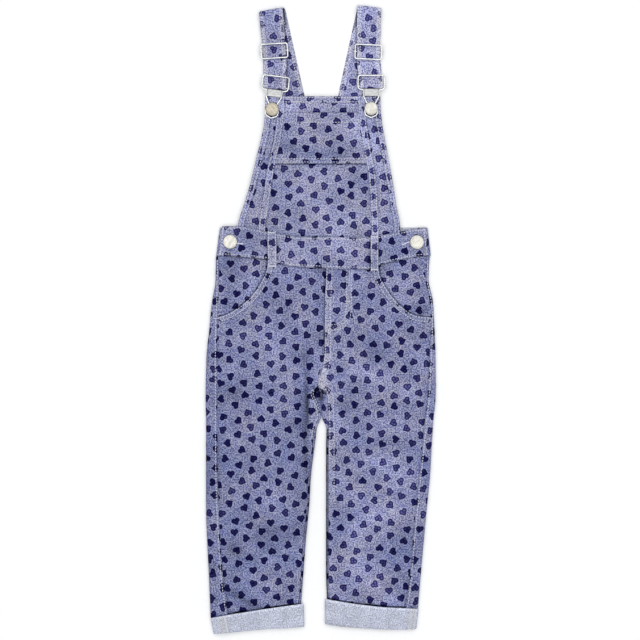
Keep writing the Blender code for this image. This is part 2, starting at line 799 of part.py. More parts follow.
def make_waistband_back():
    """Back band: flat on the floor, round both sides, its ends under the front band's."""
    upper = []
    lower = []
    arc = np.radians(np.linspace(90.0, -90.0, 6))
    for t in (0.0, 0.5, 1.0):
        y_row = BACK_WAIST[0] + t * (BACK_WAIST[1] - BACK_WAIST[0])
        x_left = WAIST_SILHOUETTE[0][0] * (1.0 - t) + WAIST_SILHOUETTE[0][1] * t
        x_right = WAIST_SILHOUETTE[1][0] * (1.0 - t) + WAIST_SILHOUETTE[1][1] * t
        outer = []
        inner = []
        for line, inset in ((outer, 0.0), (inner, CLOTH)):
            for x_edge, way in ((x_right, 1.0), (x_left, -1.0)):
                height = float(front_z(x_edge, y_row)) + WAIST_STEP - BAND - GAP
                half = height / 2.0
                bend = [(x_edge - way * (FOLD + WAIST_LAP), height - inset)]
                for angle in arc:
                    bend.append((x_edge - way * FOLD + way * (FOLD - inset) * math.cos(angle),
                                 half + (half - inset) * math.sin(angle)))
                line.extend(bend if way > 0 else bend[::-1])
                if way > 0:
                    for x in np.linspace(x_right - FOLD, x_left + FOLD, 9)[1:-1]:
                        line.append((x, inset))
        for target, line in ((upper, outer), (lower, inner)):
            x = np.array([point[0] for point in line])
            target.append(np.c_[x, np.full(len(x), y_row), [point[1] for point in line]])
    wall("waistband_back", upper, lower, "chambray")


def make_belt_loop(name, top, foot):
    """Narrow strip over the waistband, arched a little in the middle."""
    upper = []
    lower = []
    for t in np.linspace(0.0, 1.0, 8):
        x0 = top[0] + t * (foot[0] - top[0])
        x1 = top[1] + t * (foot[1] - top[1])
        y = top[2] + t * (foot[2] - top[2])
        x = np.array([x0, x1])
        z = front_z(x, y) + WAIST_STEP + LOOP_GAP + LOOP_ARCH * math.sin(math.pi * t) ** 2
        lower.append(np.c_[x, (y, y), z])
        upper.append(np.c_[x, (y, y), z + LOOP_CLOTH])
    wall(name, upper, lower, "chambray")


# ---------------------------------------------------------------- bib
def bib_column(name, y):
    return column(BIB, BIB_COLUMNS, name, y)


def bib_panel(name, left, right, left_inset, right_inset, cols):
    """Bib panel between two named lines, standing on the waistband's upper edge."""
    rows_x = []
    rows_y = []
    rows = BIB_ROWS + (BIB_TOP,)
    for y in rows:
        x = np.linspace(float(bib_column(left, y)) + left_inset,
                        float(bib_column(right, y)) - right_inset, cols)
        fade = np.clip((BIB_BEND - y) / (BIB_BEND - rows[0]), 0.0, 1.0)
        foot = waist_high(x) + WAIST_GAP
        rows_x.append(x)
        rows_y.append(y + fade * (foot - rows[0]))
    patch(name, rows_x, rows_y, -CLOTH, CLOTH, "chambray")


def bib_strip(name, line, before, after, y_high, lift):
    """Strip along a named line of the bib, between two distances from it."""
    steps = np.linspace(before, after, 3)
    foot = waist_high(bib_column(line, BIB_FOOT) + steps) + WAIST_STEP + GAP
    y = foot + np.linspace(0.0, 1.0, 12)[:, None] * (y_high - foot)
    patch(name, bib_column(line, y) + steps, y, lift, TRIM, "chambray")


def make_bib():
    half = GAP / 2.0
    bib_panel("bib_centre", "left_seam", "right_seam", half, half, 7)
    bib_panel("bib_side_left", "left_edge", "left_seam", 0.0, half, 3)
    bib_panel("bib_side_right", "right_seam", "right_edge", half, 0.0, 3)
    wide = STRIP_WIDTH / 2.0
    strip_top = BIB_TOP - TOP_HEM - GAP
    bib_strip("bib_strip_left", "left_seam", -wide, wide, strip_top, GAP)
    bib_strip("bib_strip_right", "right_seam", -wide, wide, strip_top, GAP)
    bib_strip("armhole_hem_left", "left_edge", 0.0, HEM_WIDTH, BIB_TOP, GAP)
    bib_strip("armhole_hem_right", "right_edge", -HEM_WIDTH, 0.0, BIB_TOP, GAP)
    y = np.linspace(BIB_TOP - TOP_HEM, BIB_TOP, 2)
    x0 = bib_column("left_edge", y) + HEM_WIDTH + GAP
    x1 = bib_column("right_edge", y) - HEM_WIDTH - GAP
    x = x0[:, None] + (x1 - x0)[:, None] * np.linspace(0.0, 1.0, 12)
    patch("bib_top_hem", x, np.repeat(y[:, None], 12, axis=1), GAP, TRIM, "chambray")
    y = np.linspace(BIB_POCKET_FOOT, BIB_POCKET_TOP, 5)
    x0 = bib_column("left_seam", y) + wide + GAP
    x1 = bib_column("right_seam", y) - wide - GAP
    x = x0[:, None] + (x1 - x0)[:, None] * np.linspace(0.0, 1.0, 8)
    patch("bib_pocket", x, np.repeat(y[:, None], 8, axis=1), GAP, POCKET_CLOTH, "chambray")


def make_back_bib():
    t = np.linspace(0.0, 1.0, 4)
    half = BACK_BIB_HALF[0] + t * (BACK_BIB_HALF[1] - BACK_BIB_HALF[0])
    x = half[:, None] * np.linspace(-1.0, 1.0, 8)
    foot = BACK_WAIST[1] + GAP
    y = foot + t[:, None] * (BACK_BIB_TOP - foot) + 0.0 * x
    z = np.zeros_like(x)
    wall("back_bib", np.dstack([x, y, z + CLOTH]), np.dstack([x, y, z]), "chambray")


# ---------------------------------------------------------------- straps
def lean_direction(degrees):
    """Unit direction down the garment, leaning towards +x."""
    angle = math.radians(degrees)
    return np.array([math.sin(angle), -math.cos(angle)])


def turn(vector, degrees):
    angle = math.radians(degrees)
    c, s = math.cos(angle), math.sin(angle)
    return np.array([c * vector[0] - s * vector[1], s * vector[0] + c * vector[1]])


def strap_rows(spec):
    """Rows across the strap from its sewn end to its inner end.

    Each row is its middle in plan, its height, its direction across and its half length.
    """
    fold = np.array(spec["fold"])
    down_front = lean_direction(spec["front_lean"])
    up_back = -lean_direction(spec["back_lean"])
    up = up_back - down_front
    up /= np.hypot(*up)
    fold_line = np.array([up[1], -up[0]])
    back_across = np.array([up_back[1], -up_back[0]])
    front_across = np.array([-down_front[1], down_front[0]])
    slider = np.array(spec["slider"][:2])
    slider_across = turn((1.0, 0.0), spec["slider"][2])
    button = np.array(spec["buckle"][:2])
    bar_across = turn((1.0, 0.0), spec["buckle"][2])
    buckle_up = turn((0.0, 1.0), spec["buckle"][2])
    rows = []

    def add(middle, z, across, own_across, squeeze=0.0):
        across = across / np.hypot(*across)
        half = STRAP_WIDTH / 2.0 / abs(float(np.dot(across, own_across)))
        half *= 1.0 - squeeze * (1.0 - STRAP_SQUEEZE)
        rows.append((middle[0], middle[1], z, across[0], across[1], half))

    rest = STRAP_CLOTH / 2.0
    sewn = CLOTH + GAP + rest
    length = (fold[1] - STRAP_END_Y) / up_back[1]
    for e in (length,) + tuple(length + step for step in BACK_STATIONS) + BACK_ROWS:
        middle = fold - e * up_back
        z = rest + (sewn - rest) * float(ease(*STRAP_DROP, middle[1]))
        mix = float(ease(BACK_ROWS[-3], 0.0, e))
        add(middle, z, (1.0 - mix) * back_across + mix * fold_line, back_across)
    for angle in np.radians(np.linspace(0.0, 180.0, 9))[1:-1]:
        middle = fold + STRAP_LOOP * math.sin(angle) * up
        add(middle, rest + STRAP_LOOP * (1.0 - math.cos(angle)), fold_line, back_across)

    # Front ply: straight to the slider, then on to the buckle's bar.
    bar = button + BUCKLE_BAR_V * buckle_up
    wire_top = button + BUCKLE_TOP_V * buckle_up
    to_slider = float(np.dot(slider - fold, down_front))
    slider_mid = fold + to_slider * down_front
    for share in SLIDER_ROWS:
        f = share * to_slider
        mix = float(ease(0.0, 0.33, share))
        near = float(ease(0.6, 0.8, share))
        across = (1.0 - mix) * fold_line + mix * front_across
        across = (1.0 - near) * across + near * slider_across
        z = float(table_height(FRONT_PLY, f - to_slider))
        add(fold + f * down_front, z, across, front_across, near)
    start = fold + SLIDER_ROWS[-1] * to_slider * down_front
    climb = (1.6, BUCKLE_TOP_V - BUCKLE_BAR_V - 1.0)
    high = CENTRE_BAR_Z + BAR_LOOP
    for t in BAR_ROWS:
        middle = start + t * (bar - start)
        past = float(np.dot(middle - wire_top, -buckle_up))
        z = UNDER_WIRE + (high - UNDER_WIRE) * float(ease(*climb, past))
        mix = float(ease(0.0, 0.7, t))
        add(middle, z, (1.0 - mix) * slider_across + mix * bar_across, bar_across, 1.0)
    for angle in np.radians(np.linspace(0.0, 180.0, 8))[1:]:
        middle = bar - BAR_LOOP * math.sin(angle) * buckle_up
        add(middle, CENTRE_BAR_Z + BAR_LOOP * math.cos(angle), bar_across, bar_across, 1.0)

    # Return ply, hidden under the front one, back up to the slider's middle bar.
    low = CENTRE_BAR_Z - BAR_LOOP
    for t in RETURN_ROWS:
        middle = bar + t * (slider_mid - bar)
        left = float(np.hypot(*(slider_mid - middle)))
        rise = (low - RETURN_PLY) * float(ease(5.0, 1.5, left))
        settle = (low - RETURN_PLY) * (1.0 - float(ease(0.0, 0.25, t)))
        mix = float(ease(0.2, 0.9, t))
        add(middle, RETURN_PLY + max(rise, settle), (1.0 - mix) * bar_across + mix * slider_across,
            bar_across, 1.0)
    return rows


def make_strap(name, spec):
    rows = strap_rows(spec)
    middle = np.array([row[:3] for row in rows])
    across = np.array([(row[3], row[4], 0.0) for row in rows])
    half = np.array([row[5] for row in rows])
    along = np.gradient(middle, axis=0)
    along /= np.linalg.norm(along, axis=1)[:, None]
    normal = np.cross(across, along)
    normal /= np.linalg.norm(normal, axis=1)[:, None]
    spread = np.array([-1.0, 0.0, 1.0])
    sheet = middle[:, None, :] + (half[:, None] * spread)[:, :, None] * across[:, None, :]
    offset = normal[:, None, :] * STRAP_CLOTH / 2.0
    wall(name, sheet + offset, sheet - offset, "chambray")


# ---------------------------------------------------------------- metal
def rounded_loop(corners, steps=3):
    """Closed line through corner points with rounded corners: (x, y, radius) each."""
    count = len(corners)
    line = []
    for i, (x, y, radius) in enumerate(corners):
        here = np.array([x, y])
        before = np.array(corners[i - 1][:2]) - here
        after = np.array(corners[(i + 1) % count][:2]) - here
        room = 0.48 * min(np.hypot(*before), np.hypot(*after))
        before = before / np.hypot(*before)
        after = after / np.hypot(*after)
        bend = math.acos(max(-1.0, min(1.0, float(np.dot(before, after)))))
        reach = min(radius / math.tan(bend / 2.0), room)
        for t in np.linspace(0.0, 1.0, steps + 1):
            line.append((1 - t) ** 2 * (here + reach * before) + 2 * t * (1 - t) * here
                        + t * t * (here + reach * after))
    return np.array(line)


def place(line, centre, degrees, heights):
    """Turn a flat line about its origin, move it to a centre and give it heights."""
    spots = np.array([turn(p, degrees) for p in line]) + np.array(centre)
    return np.c_[spots, heights]


def make_slider(name, spec):
    x, y, degrees = spec["slider"]
    half_x, half_y = SLIDER_HALF
    line = rounded_loop([(a * half_x, b * half_y, SLIDER_CORNER)
                         for a, b in ((1, 1), (-1, 1), (-1, -1), (1, -1))])
    frame = tube(name, place(line, (x, y), degrees, np.full(len(line), SLIDER_Z)), WIRE, 8,
                 "silver_wire", True)
    ends = np.array([(-SLIDER_BAR, 0.0), (SLIDER_BAR, 0.0)])
    bar = tube(name + "_bar_cutter", place(ends, (x, y), degrees, np.full(2, CENTRE_BAR_Z)), WIRE,
               8, "silver_wire", False)
    weld_on(frame, bar)


def buckle_height(v):
    return table_height(BUCKLE_RISE, v)


def make_buckle(name, spec):
    x, y, degrees = spec["buckle"]
    right = list(BUCKLE_LINE)
    left = [(-u, v, radius) for u, v, radius in reversed(right)]
    line = rounded_loop(right + [BUCKLE_FOOT] + left)
    frame = tube(name, place(line, (x, y), degrees, buckle_height(line[:, 1])), WIRE, 8,
                 "silver_wire", True)
    ends = np.array([(-BUCKLE_BAR, BUCKLE_BAR_V), (BUCKLE_BAR, BUCKLE_BAR_V)])
    bar = tube(name + "_bar_cutter", place(ends, (x, y), degrees, np.full(2, CENTRE_BAR_Z)), WIRE,
               8, "silver_wire", False)
    weld_on(frame, bar)


def make_plate(name, spec):
    """Flat plate across the buckle's neck, on the wires."""
    x, y, degrees = spec["buckle"]
    upper = []
    lower = []
    for v in np.linspace(PLATE_SPAN[0], PLATE_SPAN[1], 4):
        bend, fall = PLATE_EDGE
        u = np.array([-PLATE_HALF, -PLATE_HALF + bend, 0.0, PLATE_HALF - bend, PLATE_HALF])
        line = np.c_[u, np.full(len(u), v)]
        base = float(buckle_height(v)) + WIRE + GAP
        crown = np.array([0.0, fall, fall, fall, 0.0])
        lower.append(place(line, (x, y), degrees, base + crown))
        upper.append(place(line, (x, y), degrees, base + crown + PLATE_METAL))
    wall(name, upper, lower, "silver_wire")


def make_button(name, x, y, radius):
    """Shank button: a post and a low head with a raised rim."""
    over = TRIM + GAP if name.startswith("bib") else WAIST_STEP
    foot = float(front_z(x, y)) + over + GAP
    over_wire = BUCKLE_RISE[0][1] + WIRE + GAP
    clear = over_wire if name.startswith("bib") else foot + HIP_BUTTON_CLEAR
    profile = [(0.0, foot), (BUTTON_POST, foot), (BUTTON_POST, clear)]
    profile += [(radius - inset, clear + rise) for inset, rise in BUTTON_HEAD]
    profile += [(0.0, clear + BUTTON_FACE)]
    points = []
    rings = []
    for r, z in profile:
        if r == 0.0:
            rings.append([len(points)])
            points.append((x, y, z))
            continue
        ring = []
        for k in range(BUTTON_SIDES):
            angle = 2.0 * math.pi * k / BUTTON_SIDES
            ring.append(len(points))
            points.append((x + r * math.cos(angle), y + r * math.sin(angle), z))
        rings.append(ring)
    faces = []
    for a, b in zip(rings[:-1], rings[1:]):
        for k in range(BUTTON_SIDES):
            m = (k + 1) % BUTTON_SIDES
            if len(a) == 1:
                faces.append((a[0], b[m], b[k]))
            elif len(b) == 1:
                faces.append((a[k], a[m], b[0]))
            else:
                faces.append((a[k], a[m], b[m], b[k]))
    colour = "champagne_metal" if name.endswith("left") else "silver_wire"
    add_solid(name, points, faces, colour, 30.0)


# ---------------------------------------------------------------- the garment
def main():
    clear_scene()
    for word, leg, side, hem, edge, pocket in (
            ("left", LEFT_LEG, -1.0, LEFT_HEM, LEFT_CUFF_EDGE, LEFT_POCKET),
            ("right", RIGHT_LEG, 1.0, RIGHT_HEM, RIGHT_CUFF_EDGE, RIGHT_POCKET)):
        make_leg_back("leg_back_" + word, leg, side, hem)
        make_leg_front("leg_front_" + word, leg, side, hem, pocket)
        make_hip_piece("hip_piece_" + word, leg, side, hem, pocket)
        make_pocket_binding("pocket_binding_" + word, side, hem, pocket)
        make_cuff("cuff_" + word, hem, edge)
        make_belt_loop("belt_loop_" + word, *LOOPS[word])
        make_strap("strap_" + word, STRAPS[word])
        make_slider("slider_" + word, STRAPS[word])
        make_buckle("buckle_" + word, STRAPS[word])
        make_plate("buckle_plate_" + word, STRAPS[word])
    make_waistband_front()
    make_waistband_back()
    make_bib()
    make_back_bib()
    for name, (x, y, radius) in BUTTONS.items():
        make_button(name, x, y, radius)


main()
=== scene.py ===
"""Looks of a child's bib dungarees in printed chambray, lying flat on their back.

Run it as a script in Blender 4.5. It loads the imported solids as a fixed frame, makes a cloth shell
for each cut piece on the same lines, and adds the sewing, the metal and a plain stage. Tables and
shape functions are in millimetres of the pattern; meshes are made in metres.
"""

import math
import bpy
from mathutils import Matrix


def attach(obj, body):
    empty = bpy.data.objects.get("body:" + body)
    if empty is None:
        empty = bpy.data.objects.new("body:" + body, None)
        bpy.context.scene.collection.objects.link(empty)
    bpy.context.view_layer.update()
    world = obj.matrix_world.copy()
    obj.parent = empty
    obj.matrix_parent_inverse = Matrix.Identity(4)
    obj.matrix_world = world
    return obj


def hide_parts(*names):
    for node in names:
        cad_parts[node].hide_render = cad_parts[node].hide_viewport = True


bl_info = {
    "name": "Child's Dungarees",
    "version": (1, 0, 0),
    "blender": (4, 5, 0),
    "location": "View3D > Sidebar > Dungarees",
    "description": "Builds printed bib dungarees with their sewing and metal on packed solids",
    "category": "Add Mesh",
}

import bpy
import numpy as np
from bpy.props import FloatProperty, FloatVectorProperty, IntProperty, PointerProperty

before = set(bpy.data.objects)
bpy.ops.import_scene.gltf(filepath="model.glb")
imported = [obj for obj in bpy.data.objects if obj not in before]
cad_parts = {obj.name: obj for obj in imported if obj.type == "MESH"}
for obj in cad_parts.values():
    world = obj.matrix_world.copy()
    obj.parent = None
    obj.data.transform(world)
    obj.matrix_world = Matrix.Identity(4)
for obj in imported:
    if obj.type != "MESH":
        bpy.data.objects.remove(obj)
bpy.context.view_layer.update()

MM = 0.001

# ---------------------------------------------------------------- lines of the pattern
CENTRE_X = 0.25        # the pattern's point that lies at the frame's origin
CENTRE_Y = -0.09
CLOTH = 1.2
GAP = 0.3
FOLD = 2.8             # half width of a side fold

FRONT_HEIGHT = (       # y, height of the front cloth's upper side
    (-380, 5.0), (-340, 5.3), (-250, 5.6), (-150, 5.7), (-60, 5.8), (20, 5.6), (75, 5.2),
    (110, 5.0), (190, 4.7), (270, 4.6),
)

# Folds of the front cloth: from (x0, y0) to (x1, y1), half width, height (negative is a trough).
MAIN_CREASES = (
    (-18, -40, -20, -185, 9, -0.8), (-52, -30, -24, -88, 16, 0.6), (-92, -78, -30, -100, 18, -0.5),
    (-60, -210, -95, -255, 20, 0.5), (-112, -262, -46, -322, 12, -0.8),
    (-70, -278, -38, -300, 12, 0.6), (-108, -316, -60, -340, 10, 0.6),
    (24, -56, 33, -108, 12, -0.8), (46, -90, 92, -120, 14, -0.8), (60, -62, 98, -88, 16, 0.6),
    (98, -50, 124, -66, 12, -0.7), (104, -18, 130, -26, 10, -0.6), (92, 8, 118, -6, 12, 0.5),
    (62, -190, 30, -236, 18, -0.5), (92, -230, 60, -270, 18, 0.5), (18, -300, 58, -330, 12, -0.8),
    (60, -296, 96, -322, 12, 0.6), (-72, 140, -34, 106, 20, -0.3), (20, 214, 56, 192, 18, -0.3),
)
SMALL_CREASES = (
    (-30, -52, -8, -96, 5, 0.5), (-44, -70, -26, -112, 6, -0.4), (-14, -110, -18, -170, 4, 0.4),
    (-38, -120, -26, -168, 7, -0.3), (-100, -40, -70, -64, 8, -0.3),
    (-118, -130, -90, -150, 7, 0.3), (-84, -168, -58, -186, 8, -0.3),
    (-98, -292, -62, -318, 5, 0.5), (-84, -262, -44, -288, 6, -0.5),
    (-54, -318, -30, -332, 5, 0.4), (-64, 26, -44, 2, 7, -0.3), (-92, 30, -112, 44, 6, 0.3),
    (16, -74, 28, -98, 4, 0.4), (40, -70, 52, -98, 6, 0.4), (70, -104, 104, -126, 6, 0.5),
    (84, -96, 112, -112, 6, -0.4), (110, -36, 128, -46, 5, 0.4), (106, -70, 126, -84, 5, -0.4),
    (40, -150, 70, -176, 8, 0.3), (86, -168, 106, -196, 8, -0.3), (24, -250, 48, -276, 7, 0.3),
    (36, -318, 72, -338, 5, 0.5), (14, -282, 30, -312, 5, -0.4), (86, -316, 104, -334, 5, -0.4),
    (84, 34, 104, 22, 6, 0.4), (96, 18, 122, 10, 5, -0.4), (-60, 168, -40, 150, 7, 0.2),
    (-36, 118, 10, 110, 6, -0.3), (34, 132, 56, 116, 7, 0.3), (28, 200, 54, 188, 5, 0.3),
    (-50, 196, -30, 190, 5, -0.2),
)

LEG_COLUMNS = ("y", "outer", "side_seam", "inner")
LEFT_LEG = (
    (75, -124.4, -120.3, 1.0), (45, -125.0, -121.3, 1.0), (18, -129.7, -121.8, 1.0),
    (-14, -132.7, -123.4, 1.0), (-42, -135.7, -123.4, 1.0), (-60, -136.3, -123.4, 1.0),
    (-80, -136.8, -123.4, 1.0), (-87, -136.9, -123.4, 1.0), (-104, -136.8, -123.4, 1.0),
    (-115, -136.4, -123.4, 0.8), (-129, -136.3, -123.3, -4.2), (-148, -136.3, -123.1, -6.5),
    (-186, -136.3, -122.7, -11.3), (-225, -136.3, -121.6, -13.7), (-262, -135.1, -119.6, -17.3),
    (-300, -132.8, -116.4, -20.2), (-338, -130.8, -110.5, -23.2),
)
RIGHT_LEG = (
    (75, 131.2, 127.3, 1.3), (60, 129.2, 125.6, 1.3), (45, 128.6, 125.3, 1.3),
    (23, 133.6, 129.8, 1.3), (4, 135.1, 131.4, 1.3), (-20, 136.3, 131.2, 1.3),
    (-42, 137.0, 130.3, 1.3), (-60, 137.2, 129.3, 1.3), (-80, 137.4, 128.3, 1.3),
    (-104, 136.3, 126.5, 1.4), (-115, 134.9, 125.3, 1.6), (-131, 133.7, 123.6, 7.1),
    (-148, 132.6, 122.0, 6.6), (-186, 130.4, 117.7, 6.6), (-225, 126.7, 114.0, 6.6),
    (-268, 122.6, 109.7, 6.5), (-305, 119.0, 106.5, 6.6), (-338, 116.0, 101.5, 7.7),
)
LEFT_INSEAM = (        # y, x where back meets front on top, below the crotch
    (-80, -4.95), (-87, -9.5), (-104, -3.4), (-115, -2.0), (-129, -7.0), (-148, -9.4),
    (-186, -14.2), (-225, -16.6), (-262, -20.2), (-300, -23.1), (-338, -26.2),
)
RIGHT_INSEAM = (
    (-80, -4.65), (-84, 3.6), (-88, 6.6), (-92, 8.2), (-104, 8.8), (-115, 9.0), (-131, 9.9),
    (-148, 9.5), (-225, 9.5), (-268, 9.4), (-305, 9.5), (-338, 10.6),
)
FRONT_SEAM = (         # y, x of the centre front seam, above the crotch
    (75, 7.0), (45, 6.0), (18, 5.0), (-14, 5.0), (-42, 4.4), (-60, 1.8), (-72, -1.8), (-80, -4.8),
)
CROTCH = -80.0
CROTCH_FLAT = -76.0    # above this the seat lies flat to its seam
CROTCH_FOLD = -90.0    # below this each leg has its whole inner fold
FOLD_ANGLES = (15.0, 30.0, 45.0, 60.0, 75.0, 90.0)
LEAST_SWEEP = 2.0
LEG_TOP = 70.0         # nominal rows, before the waist and hem lines bend them
LEG_END = -338.0
WAIST_BEND = 20.0
HEM_BEND = -270.0

# Outer x, outer y, inner x, inner y of each leg's hem line and of its cuff's folded edge.
LEFT_HEM = (-131.0, -355.1, -20.0, -338.4)
LEFT_CUFF_EDGE = (-127.2, -374.5, -19.0, -365.7)
RIGHT_HEM = (116.8, -344.0, 5.2, -332.6)
RIGHT_CUFF_EDGE = (114.0, -368.4, 5.2, -362.8)
CUFF_BOW = {"left": -0.9, "right": 2.5}
CUFF_WALL = 2.0
CUFF_HEIGHT = 6.9
CUFF_FOLD = 3.2

LEFT_POCKET = (        # x, y of the scooped edge
    (-62.5, 70.0), (-63.9, 58.9), (-67.1, 50.5), (-76.6, 34.5), (-87.3, 22.7), (-100.0, 13.0),
    (-111.0, 6.6), (-122.1, 2.6),
)
RIGHT_POCKET = (
    (69.8, 70.0), (70.1, 59.1), (73.2, 49.0), (79.6, 36.4), (89.5, 22.7), (102.0, 11.3),
    (114.5, 4.6), (131.2, 2.6),
)
POCKET_FOOT = 2.6
POCKET_UNDERLAP = 6.0
HIP_DIP = (0.0, 5.5)
BINDING_WIDTH = 6.5

WAIST_LOW = (          # x, y of the waistband's edges
    (-130, 75.9), (-122, 75.8), (-64, 71.6), (-51, 66.3), (-24, 62.8), (4, 61.0), (57, 59.7),
    (72, 65.5), (131, 76.2), (140, 76.4),
)
WAIST_HIGH = (
    (-130, 110.0), (-118, 110.9), (-97, 111.2), (-64, 104.6), (-49, 102.3), (-24, 98.2),
    (11, 98.0), (57, 96.9), (70, 99.6), (127, 108.8), (140, 109.0),
)
WAIST_ENDS = ((-121.4, -117.0), (128.6, 124.8))
WAIST_SILHOUETTE = ((-124.4, -119.8), (131.4, 127.6))
BACK_WAIST = (75.6, 109.4)
WAIST_STEP = 0.9
BAND = 1.8
WAIST_LAP = 9.0

BIB_COLUMNS = ("y", "left_edge", "left_seam", "right_seam", "right_edge")
BIB = (
    (96, -98.8, -70.6, 65.4, 94.8), (111, -98.2, -69.4, 64.9, 94.6),
    (137, -91.0, -65.6, 63.9, 90.0), (156, -85.1, -62.8, 62.8, 87.4),
    (175, -80.3, -60.0, 60.9, 83.9), (195, -75.6, -56.0, 57.0, 80.3),
    (214, -70.8, -51.6, 53.8, 76.8), (233, -67.2, -48.6, 50.9, 73.4),
    (250, -66.0, -47.0, 49.4, 71.6), (266, -65.7, -46.4, 48.2, 71.0),
)
BIB_TOP = 265.6
STRIP_WIDTH = 8.0
HEM_WIDTH = 7.0
TOP_HEM = 8.0
BIB_POCKET_TOP = 246.3
BIB_POCKET_FOOT = 185.6
BACK_BIB_TOP = 203.0
BACK_BIB_HALF = (86.0, 50.0)

LOOPS = {              # left x, right x, y of its top end and of its foot
    "left": ((-63.2, -52.6, 104.9), (-62.8, -52.2, 62.0)),
    "right": ((59.6, 69.0, 100.0), (59.8, 68.8, 58.0)),
}
LOOP_ARCH = 0.8

STRAP_WIDTH = 28.4
STRAP_SQUEEZE = 0.955
STRAP_CLOTH = 1.3
STRAP_ROW = 9.8        # from the strap's middle to a row of stitches
STRAP_LOOP = 2.3
BAR_LOOP = 1.95
UNDER_WIRE = 3.85
RETURN_PLY = 2.25
STRAPS = {
    "left": {"fold": (-59.0, 366.6), "front_lean": 4.96, "back_lean": 13.5, "drift": 3.0,
             "slider": (-55.0, 319.6, 3.6), "buckle": (-57.4, 249.9, -7.2)},
    "right": {"fold": (58.0, 369.7), "front_lean": -1.2, "back_lean": -12.3, "drift": 0.0,
              "slider": (56.9, 318.4, -2.4), "buckle": (60.2, 250.7, -0.4)},
}
STRAP_END_Y = 184.0
STRAP_DROP = (216.0, 206.0)
BACK_STATIONS = (-9.0, -19.0, -26.0, -33.0)
BACK_ROWS = (110.0, 80.0, 50.0, 24.0, 12.0, 0.0)
SLIDER_ROWS = (0.0, 0.12, 0.33, 0.57, 0.755, 0.847, 0.894, 0.947, 1.0, 1.053, 1.106, 1.153, 1.224)
BAR_ROWS = (0.25, 0.5, 0.62, 0.72, 0.8, 0.88, 0.94, 1.0)
RETURN_ROWS = (0.12, 0.24, 0.45, 0.65, 0.78, 0.88, 0.96)
FRONT_PLY = (          # distance down from the slider's middle, height of the strap's mid cloth
    (-46.0, 5.25), (-34.0, 4.2), (-20.0, 3.7), (-11.0, 3.8), (-8.0, 3.85), (-2.5, 6.4), (0.0, 6.6),
    (2.5, 6.4), (8.0, 3.85), (12.0, 3.85),
)

SLIDER_HALF = (15.6, 8.5)
SLIDER_CORNER = 2.6
SLIDER_BAR = 17.4
SLIDER_Z = 5.8
CENTRE_BAR_Z = 4.6
BUCKLE_BAR_V = 27.0
BUCKLE_TOP_V = 39.8
BUCKLE_BAR = 17.2
BUCKLE_LINE = (        # right half of the wire from the bib button's middle: u, v, corner radius
    (15.7, 39.8, 3.2), (15.7, 23.6, 4.2), (9.1, 22.4, 2.0), (9.0, 14.5, 4.0), (4.5, 5.6, 2.0),
    (7.7, -2.5, 3.0), (6.4, -7.6, 2.5),
)
BUCKLE_FOOT = (0.0, -10.6, 3.0)
BUCKLE_RISE = ((-12, 7.1), (14, 7.1), (18, 6.7), (27, 5.7), (40, 5.8))   # v, height of the wire
PLATE_SPAN = (15.0, 23.8)
PLATE_HALF = 9.2
BUTTONS = {            # middle, radius of the head, material
    "bib_button_left": (-57.4, 249.9, 8.0, "champagne_buttons"),
    "bib_button_right": (60.2, 250.7, 8.0, "silver_buttons"),
    "hip_button_left": (-107.5, 92.4, 8.5, "silver_buttons"),
    "hip_button_right": (114.7, 92.0, 8.5, "silver_buttons"),
}
BUTTON_POST = 2.6
BUTTON_HEAD = (        # inwards from the head's radius, up from its underside
    (1.4, 0.0), (0.7, 0.08), (0.22, 0.35), (0.0, 0.8), (0.1, 1.3), (0.42, 1.68), (0.85, 1.86),
    (1.3, 1.88), (1.6, 1.74), (1.9, 1.62), (2.6, 1.62), (5.0, 1.72),
)
BUTTON_FACE = 1.75
HIP_BUTTON_CLEAR = 0.6
